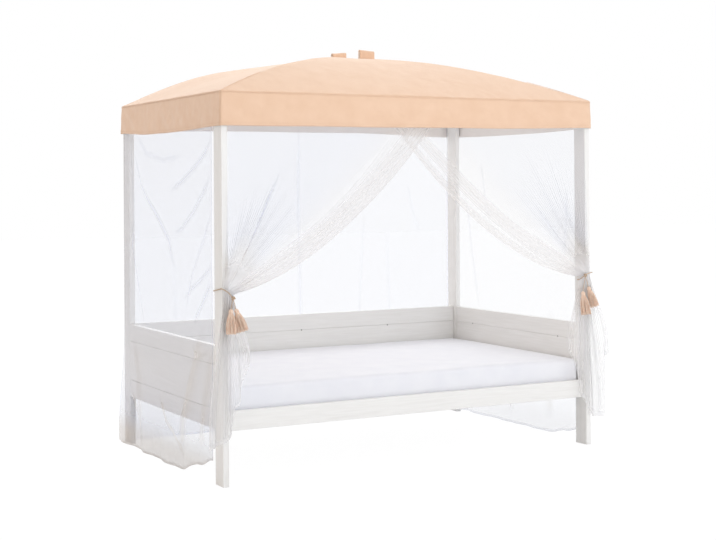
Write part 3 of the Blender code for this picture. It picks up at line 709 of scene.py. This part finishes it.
def between(value, table):
    """Reads a short table of (place, value) rows, smoothly from row to row."""
    for (a, low), (b, high) in zip(table, table[1:]):
        if value <= b:
            return low + (high - low) * ramp(value, a, b)
    return table[-1][1]


def ring_point(turn, side_x, side_y, radius):
    """A point on a rounded rectangle, with one unit of turn for each side from the front left."""
    side = int(turn) % 4
    corner = ((-1, -1), (1, -1), (1, 1), (-1, 1))
    a = Vector((corner[side][0] * side_x, corner[side][1] * side_y))
    b = Vector((corner[(side + 1) % 4][0] * side_x, corner[(side + 1) % 4][1] * side_y))
    point = a.lerp(b, turn - int(turn))
    over_x = max(abs(point.x) - (side_x - radius), 0.0)
    over_y = max(abs(point.y) - (side_y - radius), 0.0)
    if over_x and over_y:
        shrink = radius / (over_x**2 + over_y**2) ** 0.5
        point.x = (abs(point.x) - over_x + over_x * shrink) * sign(point.x)
        point.y = (abs(point.y) - over_y + over_y * shrink) * sign(point.y)
    return point


# Just under four sides, so that the band's end still lies on the fourth
LAST_TURN = 3.99999
STITCHES = 1500
PIPING_STEPS = 150
WELT_STEPS = 119


def valance_shape(u, v):
    """The band's place: it flares and ripples towards its hem, and crumples most on the left end."""
    turn = min(u * 4, LAST_TURN)
    top = EAVE_Z - CLOTH - 0.0003
    drop = 1 - v
    flare = drop * (0.0035 + 0.002 * sin(turn * 9.1) + 0.0015 * sin(turn * 23.0))
    flat_run = (turn % 1) * (2.07 if int(turn) % 2 == 0 else 1.32) + int(turn) * 3
    ripple = noise.noise((flat_run * 5.0, v * 1.2, 3.3)) * 0.0030 * drop**1.2
    ripple += noise.noise((flat_run * 26, v * 3, 8.3)) * 0.0011 * drop * (1 - 0.5 * drop)
    crumple = (ramp(turn, 2.95, 3.10) + 0.25 * (1 - ramp(turn, 0.9, 1.0)) + 0.2) * drop * (1.2 - drop)
    ripple += noise.noise((flat_run * 13 + v * 2.4, v * 2.2 - flat_run * 4, 5.1)) * 0.0085 * crumple
    ripple += noise.noise((flat_run * 30 - v * 4.0, v * 4.0 + flat_run * 6, 9.4)) * 0.0034 * crumple
    hem_ridge = 0.0007 * (1 - ramp(abs(drop - 0.90), 0.0, 0.05)) - 0.0006 * exp(-((drop - 0.86) / 0.012) ** 2)
    half_x, half_y = ROOF_HALF_X + flare + ripple + hem_ridge, ROOF_HALF_Y + flare + ripple + hem_ridge
    spot = ring_point(turn, half_x, half_y, CORNER_RADIUS)
    waver = noise.noise((flat_run * 4, 1.5, 0.4)) * 0.0016 * drop
    return (spot.x, spot.y, top + (between(turn, HEM) - top) * drop + waver), 1.0, 1.0


valance = cloth("valance_band", 880, 18, (6.85, 0.155), valance_shape)
thicken(valance, 0.0013)
canopy_piece(valance, "valance")

piping = []
for k in range(4 * PIPING_STEPS + 1):
    spot = ring_point(k / PIPING_STEPS, ROOF_HALF_X - 0.0004, ROOF_HALF_Y - 0.0004, CORNER_RADIUS)
    piping.append((Vector((*spot, EAVE_Z - 0.0012)), 1.0))
welts = []
for side_x in (-1, 1):
    for side_y in (-1, 1):
        welt = []
        for k in range(WELT_STEPS + 1):
            reach = 0.993 - 0.26 * k / WELT_STEPS
            x, y = side_x * ROOF_HALF_X * reach, side_y * ROOF_HALF_Y * reach
            welt.append((Vector((x, y, roof_height(x, y) + 0.0002)), 1.0))
        welts.append(welt)
for seam_name, lines, thick in (("eave_piping", [piping], 0.0042), ("hip_welts", welts, 0.0024)):
    seam = yarns(seam_name, lines, thick)
    seam.data.uv_layers.new(name="flat_cloth")
    for corner in seam.data.loops:
        spot = seam.data.vertices[corner.vertex_index].co
        seam.data.uv_layers["flat_cloth"].data[corner.index].uv = (spot.x + spot.y, spot.z)
    fit(seam, canopy_cotton, "canopy_cotton")

stitches = []
for offset, along_hem in ((0.0145, True), (0.0060, False)):
    for k in range(STITCHES):
        row = []
        for end in (0.14, 0.86):
            u = (k + end) / STITCHES
            height = between(min(u * 4, LAST_TURN), HEM)
            v = offset / (EAVE_Z - height) if along_hem else 1 - offset / (EAVE_Z - height)
            place = valance_shape(u, v)[0]
            away = Vector((place[0] / ROOF_HALF_X, place[1] / ROOF_HALF_Y))
            away = Vector((sign(away.x), 0, 0) if abs(away.x) > abs(away.y) else (0, sign(away.y), 0))
            row.append((Vector(place) + away * 0.0002, 1.0))
        stitches.append(row)
thread = yarns("valance_stitches", stitches, 0.0007, 0)
sewing_thread = spun_cotton("peach_sewing_thread", (0.66, 0.45, 0.31), (0.80, 0.58, 0.42), 500.0)
fit(thread, sewing_thread, "canopy_cotton")


# Two short loops of the same cotton, folded double, stand on the crown at each side of its middle.
# A rod or a cord could pass through them; their ends are sewn into the crown.
# Loops: name, middle along X, width, height at the left and at the right, length of strap
LOOPS = (
    ("crown_loop_left", -0.084, 0.080, 0.026, 0.034, 0.078),
    ("crown_loop_right", 0.082, 0.086, 0.052, 0.047, 0.118),
)
LOOP_HALF_DEEP = 0.011

for loop_name, middle, width, high_left, high_right, strap_long in LOOPS:

    def loop_shape(u, v):
        x = middle + (u - 0.5) * width
        bend = LOOP_HALF_DEEP * 0.9
        top = roof_height(middle, 0.0) + high_left + (high_right - high_left) * u
        foot = roof_height(x, LOOP_HALF_DEEP) - 0.0012
        crush = noise.noise((x * 40, v * 5, 2.6)) * 0.0012 * sin(pi * v)
        if v < 0.3:
            y, z = -LOOP_HALF_DEEP, foot + (top - bend - foot) * v / 0.3
        elif v > 0.7:
            y, z = LOOP_HALF_DEEP, foot + (top - bend - foot) * (1 - v) / 0.3
        else:
            turn = pi - (v - 0.3) / 0.4 * pi
            y, z = LOOP_HALF_DEEP * cos(turn), top - bend + bend * sin(turn)
        edge = 1 - ramp(abs(u - 0.5), 0.47, 0.5)
        return (x, y * (1 + crush * 30 * edge), z + crush), 1.0, 1.0

    loop = cloth(loop_name + "_strap", 24, 60, (width, strap_long), loop_shape)
    thicken(loop, 0.0022)
    canopy_piece(loop, loop_name)


# Sheer white net hangs from the rails over both ends and the back, down to the floor.
# Each is a single flat cut of soft net with long uneven creases and a narrow rolled hem.
NET_TOP = 1.765
NET_OFF = 0.0035
POST_THICK = 0.029
POST_DEEP = 0.0885
# Soft folds: first end as (across, height), other end, width, rise
LEFT_FOLDS = (
    (0.44, 1.52, -0.08, 0.98, 0.050, 0.014),
    (-0.54, 1.57, -0.07, 1.33, 0.055, 0.014),
    (-0.52, 1.38, -0.26, 1.18, 0.045, 0.010),
    (-0.56, 1.18, -0.33, 0.89, 0.040, 0.010),
    (-0.56, 0.97, -0.26, 0.80, 0.040, 0.010),
    (-0.44, 0.64, -0.13, 0.16, 0.045, 0.012),
    (0.46, 1.04, 0.28, 0.66, 0.045, 0.012),
    (0.43, 0.30, 0.31, 0.05, 0.045, 0.010),
    (0.58, 0.60, 0.70, 0.02, 0.060, 0.014),
)
RIGHT_FOLDS = (
    (0.53, 1.30, 0.40, 0.62, 0.045, 0.012),
    (0.36, 1.50, 0.30, 1.15, 0.045, 0.008),
    (-0.45, 1.35, -0.42, 0.95, 0.045, 0.010),
    (0.15, 0.60, 0.10, 0.02, 0.060, 0.010),
    (-0.30, 0.70, -0.24, 0.04, 0.060, 0.020),
    (0.52, 0.50, 0.60, 0.02, 0.060, 0.016),
)
BACK_FOLDS = (
    (0.02, 1.60, 0.03, 0.30, 0.035, 0.010),
    (0.43, 1.20, 0.43, 0.10, 0.060, 0.012),
    (0.60, 1.30, 0.61, 0.20, 0.050, 0.012),
    (0.73, 1.38, 0.82, 1.05, 0.050, 0.010),
    (-0.40, 1.20, -0.42, 0.05, 0.070, 0.012),
    (-0.75, 1.00, -0.74, 0.10, 0.060, 0.012),
)
# Hems: (share of the way from front to back, height above the floor)
LEFT_HEM = ((0.0, 0.105), (0.12, 0.060), (0.30, 0.0), (1.0, 0.0))
RIGHT_HEM = ((0.0, 0.060), (0.12, 0.030), (0.25, 0.0), (1.0, 0.0))
NET_COVER = 0.17
CREASE_REACH = 0.06
# Thin creases: half width, strength, then points as (across, height)
LEFT_CREASES = (
    (0.012, 0.85, (0.480, 1.540), (0.346, 1.362), (0.131, 1.226), (-0.045, 1.082), (-0.140, 0.930)),
    (0.011, 0.80, (0.520, 1.180), (0.439, 0.961), (0.374, 0.797), (0.295, 0.640)),
    (0.013, 0.80, (-0.575, 1.590), (-0.488, 1.506), (-0.382, 1.445), (-0.224, 1.377), (-0.026, 1.310)),
    (0.012, 0.75, (-0.570, 1.430), (-0.485, 1.323), (-0.363, 1.230), (-0.220, 1.156), (-0.060, 1.120)),
    (0.011, 0.70, (-0.555, 1.250), (-0.481, 1.093), (-0.358, 0.949), (-0.251, 0.750)),
    (0.012, 0.75, (-0.575, 1.000), (-0.448, 0.914), (-0.190, 0.810)),
    (0.012, 0.85, (-0.560, 0.930), (-0.456, 0.810), (-0.330, 0.700)),
    (0.014, 0.60, (0.460, 1.630), (0.287, 1.520), (0.057, 1.484), (-0.230, 1.500)),
    (0.012, 0.50, (0.540, 1.640), (0.500, 1.400), (0.480, 1.150), (0.500, 0.900)),
    (0.013, 0.80, (0.530, 0.300), (0.394, 0.151), (0.300, 0.030)),
    (0.012, 0.72, (0.130, 0.330), (0.021, 0.206), (-0.112, 0.152), (-0.220, 0.050)),
    (0.012, 0.35, (-0.300, 0.620), (-0.420, 0.560), (-0.530, 0.600)),
    (0.030, 0.54, (-0.500, 0.740), (-0.350, 0.493), (-0.220, 0.264), (-0.160, 0.030)),
    (0.030, 0.42, (-0.560, 0.640), (-0.470, 0.380), (-0.400, 0.080)),
    (0.030, 0.36, (0.500, 0.600), (0.400, 0.300), (0.330, 0.030)),
)
RIGHT_CREASES = (
    (0.010, 0.64, (0.530, 1.300), (0.470, 0.950), (0.400, 0.620)),
    (0.010, 0.48, (0.360, 1.500), (0.330, 1.300), (0.300, 1.150)),
    (0.011, 0.48, (-0.450, 1.350), (-0.440, 1.150), (-0.420, 0.950)),
    (0.013, 0.56, (0.150, 0.600), (0.120, 0.300), (0.100, 0.020)),
    (0.030, 0.48, (-0.300, 0.700), (-0.260, 0.350), (-0.240, 0.040)),
    (0.015, 0.64, (0.520, 0.500), (0.560, 0.250), (0.600, 0.020)),
)
BACK_CREASES = (
    (0.010, 1.04, (0.009, 1.740), (0.009, 1.400), (0.011, 1.091), (0.021, 0.635), (0.024, 0.020)),
    (0.010, 0.40, (0.443, 1.240), (0.425, 0.950), (0.405, 0.657), (0.400, 0.250)),
    (0.010, 0.40, (0.590, 1.109), (0.600, 0.850), (0.607, 0.648), (0.600, 0.200)),
    (0.010, 0.40, (0.730, 1.380), (0.770, 1.200), (0.820, 1.050)),
    (0.011, 0.40, (-0.400, 1.200), (-0.430, 0.600), (-0.420, 0.050)),
    (0.011, 0.32, (-0.750, 1.000), (-0.730, 0.500), (-0.740, 0.100)),
)


def sheer_net():
    """Soft net. Two attributes say how much light it stops and how much painted light and painted shade is in
    its colour.
    """
    material, nodes, links, shader = finish_nodes("white_sheer_net", 0.8, 0.1)
    cover = put(nodes, "Attribute")
    cover.attribute_name = "cover"
    painted_light_input = put(nodes, "Attribute")
    painted_light_input.attribute_name = "painted_light"
    # The ramp paints the net's colour: blue-grey where it is thin, beige as painted floor shadow where it
    # heaps at the floor, and near white as painted light in packed folds, bands, tails and lower creases.
    painted_light_ramp = put(nodes, "ValToRGB")
    painted_light_ramp.color_ramp.elements[0].color = (0.62, 0.66, 0.80, 1.0)
    painted_light_ramp.color_ramp.elements.new(0.5).color = (0.72, 0.675, 0.645, 1.0)
    painted_light_ramp.color_ramp.elements[2].color = (0.95, 0.945, 0.95, 1.0)
    links.new(painted_light_input.outputs["Fac"], painted_light_ramp.inputs["Fac"])
    links.new(painted_light_ramp.outputs["Color"], shader.inputs["Base Color"])
    holes = put(nodes, "TexVoronoi", Scale=650.0)
    links.new(on_cloth(nodes), holes.inputs["Vector"])
    relief(nodes, links, shader, holes.outputs["Distance"], 0.0003, 0.3)
    through = put(nodes, "BsdfTranslucent")
    links.new(painted_light_ramp.outputs["Color"], through.inputs["Color"])
    thread = put(nodes, "MixShader", Fac=0.45)
    links.new(shader.outputs["BSDF"], thread.inputs[1])
    links.new(through.outputs["BSDF"], thread.inputs[2])
    net = put(nodes, "MixShader")
    links.new(cover.outputs["Fac"], net.inputs["Fac"])
    links.new(put(nodes, "BsdfTransparent").outputs["BSDF"], net.inputs[1])
    links.new(thread.outputs["Shader"], net.inputs[2])
    links.new(net.outputs["Shader"], nodes["Material Output"].inputs["Surface"])
    return material


white_net = sheer_net()


def nearest(across, height, x0, z0, x1, z1):
    """Where along a line a point is nearest to it, and the square of its distance."""
    run, fall = x1 - x0, z1 - z0
    t = ((across - x0) * run + (height - z0) * fall) / (run * run + fall * fall)
    t = min(max(t, 0.0), 1.0)
    return t, (x0 + run * t - across) ** 2 + (z0 + fall * t - height) ** 2


def fold_depth(across, height, folds):
    """How far the net stands out at a point, from a table of folds."""
    depth = 0.0
    for x0, z0, x1, z1, width, rise in folds:
        away = nearest(across, height, x0, z0, x1, z1)[1]
        if away < width * width * 9:
            depth += rise * exp(-away / width**2)
    return depth


def crease_at(across, height, creases):
    """How much of a thin crease passes through a point; each fades out at its two ends."""
    total = 0.0
    for half, strength, *points in creases:
        best, place = 1.0, 0.0
        for i, ((x0, z0), (x1, z1)) in enumerate(zip(points, points[1:])):
            beside_z = min(z0, z1) - CREASE_REACH < height < max(z0, z1) + CREASE_REACH
            beside_x = min(x0, x1) - CREASE_REACH < across < max(x0, x1) + CREASE_REACH
            if beside_z and beside_x:
                t, away = nearest(across, height, x0, z0, x1, z1)
                if away < best:
                    best, place = away, (i + t) / (len(points) - 1)
        if best < half * half * 9:
            total += strength * exp(-best / half**2) * ramp(min(place, 1 - place), 0.0, 0.22)
    return min(total, 1.5)


def hang(across, height, folds, creases, lean, seed):
    """How far a net stands off the bed, close under the valance and freer below it, and its creases."""
    free = ramp(1.60 - height, 0.0, 0.30)
    low = ramp(0.55 - height, 0.0, 0.50)
    depth = fold_depth(across, height, folds)
    crease = crease_at(across, height, creases)
    drape = noise.noise((across * 5.0, height * 0.9, seed)) * 0.0045
    drape += noise.noise((across * 15.0 + height * 2.0, height * 2.0, seed + 3)) * 0.0014
    gather = sin(across * 130 + 3 * noise.noise((across * 8, 0.3, seed))) * 0.0011 * (1 - free)
    pool = low * low * 0.010 * sin(across * 21 + seed) * ramp(0.30 - height, 0, 0.3)
    out = 0.0036 + depth + crease * 0.0007 + max(drape, -0.003)
    return NET_OFF + 0.0006 + gather + free * out + low * lean + max(pool, -0.004), crease


def hem_cover(distance, wide):
    """The light that a rolled hem stops besides, at a distance from the net's edge."""
    return 0.22 * (1 - ramp(distance, wide * 0.8, wide))


def dress_net(piece, node):
    fit(piece, white_net, "sheer_net", node)


def end_net(name, side, folds, creases, hem, lean, back_edge, seed, fine, heap):
    """The net over one end, from its front post to its back one. It spreads and heaps at the floor."""
    front_edge = -HALF_WIDTH + POST_DEEP + 0.012

    def shape(u, v):
        low = between(u, hem)
        height = low + (NET_TOP - low) * v
        spread = ramp(0.60 - height, 0.0, 0.55)
        rear = HALF_WIDTH - 0.020 + (back_edge - HALF_WIDTH + 0.020) * spread
        across = front_edge + (rear - front_edge) * u
        out, crease = hang(across, height, folds, creases, lean, seed)
        out = NET_OFF + (out - NET_OFF) * (0.25 + 0.75 * ramp(min(u, 1 - u), 0.0, 0.09))
        piled = ramp(0.20 - height, 0.0, 0.14)
        cover = fine + 0.23 * crease + 0.10 * ramp(0.45 - height, 0.0, 0.30) + heap * piled
        cover += hem_cover(height - low, 0.012) + hem_cover(min(u, 1 - u) * (rear - front_edge), 0.010)
        # Painted light and shade in the net's colour: beige for painted floor shadow where the net heaps at
        # the floor, and near white for painted light on the lower creases.
        painted_light = max(0.5 * piled * min(heap * 4, 1.0), min(crease, 1.0) * 0.9 * ramp(0.78 - height, 0.0, 0.16))
        return (side * (HALF_LENGTH + out), across, height), min(cover, 0.9), painted_light

    return cloth(name, 230, 220, (1.26, 1.80), shape)


def back_shape(u, v):
    across = (u - 0.5) * 2 * (HALF_LENGTH - 0.020)
    height = NET_TOP * v
    out, crease = hang(across, height, BACK_FOLDS, BACK_CREASES, 0.012, 5.5)
    cover = NET_COVER + 0.16 * crease + 0.10 * ramp(0.30 - height, 0.0, 0.30)
    cover += hem_cover(height, 0.012) + hem_cover(min(u, 1 - u) * 2.03, 0.010)
    return (across, HALF_WIDTH + out, height), min(cover, 0.9), 0.0


left_net = end_net(
    "left_end_net", -1, LEFT_FOLDS, LEFT_CREASES, LEFT_HEM, 0.004, 0.735, 1.5, NET_COVER, 0.30
)
dress_net(left_net, "net_left_end")
right_net = end_net("right_end_net", 1, RIGHT_FOLDS, RIGHT_CREASES, RIGHT_HEM, 0.022, 0.680, 8.5, 0.08, 0.10)
dress_net(right_net, "net_right_end")
back_net = cloth("back_net", 300, 150, (2.05, 1.79), back_shape)
dress_net(back_net, "net_back")


# Two front curtains of the same net hang from the front rail and cross at its middle.
# Each is swept to its post in folds, gathered there by its rope, and falls from it in a ragged tail.
# A curtain is read across its cloth: u is 0 at the post's side and 1 at the leading edge.
# Tails: (u, distance from the post's middle) and (u, height of the hem)
LEFT_TAIL_SPREAD = ((0.0, 0.092), (0.3, 0.060), (0.6, -0.012), (0.8, -0.060), (1.0, -0.108))
LEFT_TAIL_HEM = ((0.0, 0.175), (0.45, 0.20), (0.62, 0.235), (0.72, 0.36), (1.0, 0.56))
RIGHT_TAIL_SPREAD = ((0.0, 0.118), (0.15, 0.090), (0.5, 0.010), (0.8, -0.070), (1.0, -0.135))
RIGHT_TAIL_HEM = ((0.0, 0.47), (0.10, 0.46), (0.20, 0.145), (0.5, 0.15), (0.72, 0.25), (1.0, 0.50))
# Denser strips: start and end across the cloth, each at the rail, midway and at the tie, and strength
LEFT_STRIPS = (((0.50, 0.58, 0.42), (1.1, 1.1, 1.1), 0.13), ((0.66, 0.68, 0.50), (1.1, 1.1, 1.1), 0.17))
RIGHT_STRIPS = (((0.74, 0.68, 0.45), (0.87, 0.87, 0.90), 0.30), ((0.93, 0.93, 0.88), (1.1, 1.1, 1.1), 0.30))
# Fold lines: place across the cloth at the rail, midway and at the tie, half width, strength, where it starts
LEFT_LINES = (
    ((0.170, 0.178, 0.222), 0.007, 0.30, 0.22), ((0.100, 0.110, 0.130), 0.006, 0.12, 0.35),
    ((0.470, 0.570, 0.470), 0.010, 0.16, 0.0), ((0.640, 0.660, 0.560), 0.010, 0.14, 0.0),
    ((0.750, 0.765, 0.680), 0.009, 0.26, 0.0), ((0.830, 0.830, 0.800), 0.011, 0.16, 0.0),
    ((0.905, 0.900, 0.890), 0.009, 0.20, 0.0), ((0.960, 0.955, 0.950), 0.008, 0.14, 0.0),
)
RIGHT_LINES = (
    ((0.740, 0.690, 0.480), 0.010, 0.18, 0.0), ((0.790, 0.760, 0.600), 0.009, 0.16, 0.0),
    ((0.840, 0.820, 0.760), 0.009, 0.20, 0.0), ((0.880, 0.872, 0.850), 0.007, 0.22, 0.0),
    ((0.935, 0.930, 0.910), 0.007, 0.24, 0.0), ((0.975, 0.970, 0.960), 0.007, 0.22, 0.0),
    ((0.300, 0.320, 0.340), 0.006, 0.12, 0.30),
)
NECK_HALF = 0.013
CURTAIN_WIDE = 1.19
CURTAIN_LONG = 1.75
# Shares of the cloth's length: down to the tie, in the tie, and to where the tail is open
TIE_AT = 0.60
TIE_LONG = 0.03
TAIL_OPEN = 0.16
# The gathered band starts here across the drawn curtain, across the mesh and across the flat cloth
BAND_AT = 0.42
BAND_MESH = 0.68
BAND_CUT = 0.845
FINE_PLEATS = 42
# The most layers of net that fine pleats may lay over each other, above the tie and in the tail
MOST_LAYERS = 4.2
TAIL_LAYERS = 4.3
# How closely the packing is measured, as a share of the mesh
PACKING_STEP = 0.004


def three_way(row, down):
    """Reads a value given at the rail, midway and at the tie."""
    t = min(down / TIE_AT, 1.0)
    if t < 0.5:
        return row[0] + (row[1] - row[0]) * ramp(t, 0, 0.5)
    return row[1] + (row[2] - row[1]) * ramp(t, 0.5, 1)


def front_curtain(name, side, front, lead, neck, sag, band_start, spread, hem, phase, strips, lines):
    """One front curtain, from its leading edge at the crossing to its post, tie and tail."""
    post = HALF_LENGTH - POST_THICK / 2
    top_edge = HALF_LENGTH - POST_THICK - 0.005

    def column(u):
        """Place across the flat cloth of a place across the drawn curtain."""
        if u < BAND_AT:
            return u * band_start / BAND_AT
        return band_start + (u - BAND_AT) * (1 - band_start) / (1 - BAND_AT)

    def drawn(g):
        """Place across the drawn curtain of a place across the mesh."""
        if g < BAND_MESH:
            return g * BAND_AT / BAND_MESH
        return BAND_AT + (g - BAND_MESH) * (1 - BAND_AT) / (1 - BAND_MESH)

    def spot(g, v):
        """The same, but the tail opens all the cloth evenly."""
        u = drawn(g)
        return u + (column(u) - u) * ramp(1 - v, TIE_AT, TIE_AT + TAIL_OPEN)

    def swept(u, v):
        """The curtain's place without its fine pleats, its nearness to the tie and its share of band."""
        along = column(u)
        top = top_edge + (lead - top_edge) * along
        knot_x = neck[0][0] + (neck[1][0] - neck[0][0]) * u
        knot_z = neck[0][1] + (neck[1][1] - neck[0][1]) * u
        down = 1 - v
        band = ramp(u, 0.34, 0.50)
        if down < TIE_AT:
            t = down / TIE_AT
            x = top + (knot_x - top) * t ** (1 + 1.2 * (1 - along) ** 6)
            end = knot_z + NECK_HALF
            z = NET_TOP + (end - NET_TOP) * t - (sag + 0.03 * t) * along**6 * 4 * t * (1 - t)
            near = ramp(t, 0.75, 1.0)
            pleat = band * (0.002 + 0.010 * ramp(NET_TOP - z, 0.13, 0.36))
            loose = 0.004 * (1 - band) * ramp(NET_TOP - z, 0.13, 0.36) * (1 - near)
        elif down < TIE_AT + TIE_LONG:
            t = (down - TIE_AT) / TIE_LONG
            x, z = knot_x, knot_z + NECK_HALF * (1 - 2 * t)
            near, pleat, loose = 1.0, 0.0, 0.0
        else:
            t = (down - TIE_AT - TIE_LONG) / (1 - TIE_AT - TIE_LONG)
            x = knot_x + (post + between(u, spread) - knot_x) * ramp(t, -0.02, 0.9) ** 0.8
            start = knot_z - NECK_HALF
            z = start + (between(u, hem) - start) * t
            near = 1 - ramp(t, 0.0, 0.25)
            pleat = 0.008 + 0.003 * t
            loose = 0.0
        pleat += (0.007 - pleat) * near
        gathered = 0.016 * near * sin(pi * u)
        out = 0.0035 + 0.010 * ramp(NET_TOP - z, 0.15, 0.40) + 0.006 * ramp(1.2 - z, 0.0, 0.3)
        if front:
            base = 0.001 - out
        else:
            clear = ramp(x, 0.24, 0.60)
            base = 0.0065 - out * clear + 0.003 * (1 - clear) * ramp(NET_TOP - z, 0.05, 0.2)
        wave = 0.5 + 0.5 * sin(u * 2 * pi * 5.5 + phase)
        swell = 0.5 + 0.5 * sin(along * 2 * pi * 2.6 + phase)
        y = base - pleat * wave - loose * swell - gathered
        return Vector((side * x, y - HALF_WIDTH, z)), near, band

    def shape(g, v):
        u = spot(g, v)
        share = column(drawn(g))
        down = 1 - v
        place, near, band = swept(u, v)
        higher, lower = min(v + PACKING_STEP, 1.0), max(v - PACKING_STEP, 0.0)
        run = (swept(u, higher)[0] - swept(u, lower)[0]).normalized()
        ahead, behind = min(g + PACKING_STEP, 1.0), max(g - PACKING_STEP, 0.0)
        cross = swept(spot(ahead, v), v)[0] - swept(spot(behind, v), v)[0]
        cross -= run * cross.dot(run)
        cut = CURTAIN_WIDE * (ahead - behind)
        cut *= BAND_CUT / BAND_MESH if g < BAND_MESH else (1 - BAND_CUT) / (1 - BAND_MESH)
        layers = max(cut / max(cross.length, 0.00005) - 0.08, 1.0)
        drift = noise.noise((share * 9, v * 1.5, phase))
        turn = 2 * pi * FINE_PLEATS * (share + 0.010 * drift)
        below = ramp(down, TIE_AT + TIE_LONG, TIE_AT + TAIL_OPEN)
        most = MOST_LAYERS + (TAIL_LAYERS - MOST_LAYERS) * below
        over_tie = 1 - ramp(down, 0.52, TIE_AT)
        tall = CURTAIN_WIDE / FINE_PLEATS / 4 * (min(layers, most) ** 2 - 1) ** 0.5 / layers
        tall *= 1 - 0.85 * band * over_tie
        tall *= 1 - 0.2 * (1 - ramp(layers, 1.5, 3.5)) * over_tie
        tall *= ramp(down, 0.0, 0.10) * (1.0 + 0.4 * noise.noise((share * 22, v * 3, phase + 5)))
        place.y += tall * sin(turn)
        cover = (0.13 if front else 0.09) + 0.03 * ramp(down, 0.0, TIE_AT)
        cover += ramp(layers, 3.0, 14.0) * (0.05 + 0.40 * band) + (0.34 + 0.2 * band) * near**2
        above = 1 - ramp(down, TIE_AT + 0.02, TIE_AT + 0.14)
        soft = 0.030 + 0.03 * ramp(down, 0.3, TIE_AT)
        for start, end, strength in strips:
            first, last = three_way(start, down), three_way(end, down)
            inside = ramp(u, first - soft, first + soft)
            cover += strength * above * inside * (1 - ramp(u, last - 0.015, last + 0.015))
        for row, half, strength, begin in lines:
            middle = three_way(row, down) + 0.006 * noise.noise((down * 5, row[0] * 40, phase))
            line = exp(-(((u - middle) / half) ** 2)) * ramp(down, begin, begin + 0.12 if begin else 0.001)
            line *= 0.55 + 0.45 * above
            cover += strength * line * (0.8 + 0.5 * noise.noise((down * 7, row[0] * 30, phase + 4)))
            place.y -= 0.0022 * line * (1 - near)
        cover += below * (0.13 + 0.08 * noise.noise((u * 9, v * 2.5, phase + 8)))
        cover += hem_cover((1 - u) * 0.6, 0.010) + hem_cover(v * 1.3, 0.012)
        # Painted light in the net's colour: paler over the gathered band, where pleats are packed, at the tie
        # and in the tail, standing in for light that scatters through many layers of net.
        banded = 0.75 * band * ramp(down, 0.0, 0.10)
        heaped = 0.8 * ramp(layers, 3.0, 9.0) * (1 - band)
        return place, min(max(cover, 0.10), 0.95), max(banded, heaped, near, below)

    return cloth(name, 560, 145, (CURTAIN_WIDE, CURTAIN_LONG), shape)


left_curtain = front_curtain(
    "left_front_curtain", -1, True, -0.184, ((1.0365, 0.890), (0.9925, 0.850)), 0.135, 0.845,
    LEFT_TAIL_SPREAD, LEFT_TAIL_HEM, 0.6, LEFT_STRIPS, LEFT_LINES,
)
right_curtain = front_curtain(
    "right_front_curtain", 1, False, -0.240, ((1.0200, 0.895), (0.9500, 0.862)), 0.150, 0.800,
    RIGHT_TAIL_SPREAD, RIGHT_TAIL_HEM, 2.1, RIGHT_STRIPS, RIGHT_LINES,
)
for curtain, node in ((left_curtain, "curtain_left"), (right_curtain, "curtain_right")):
    dress_net(curtain, node)
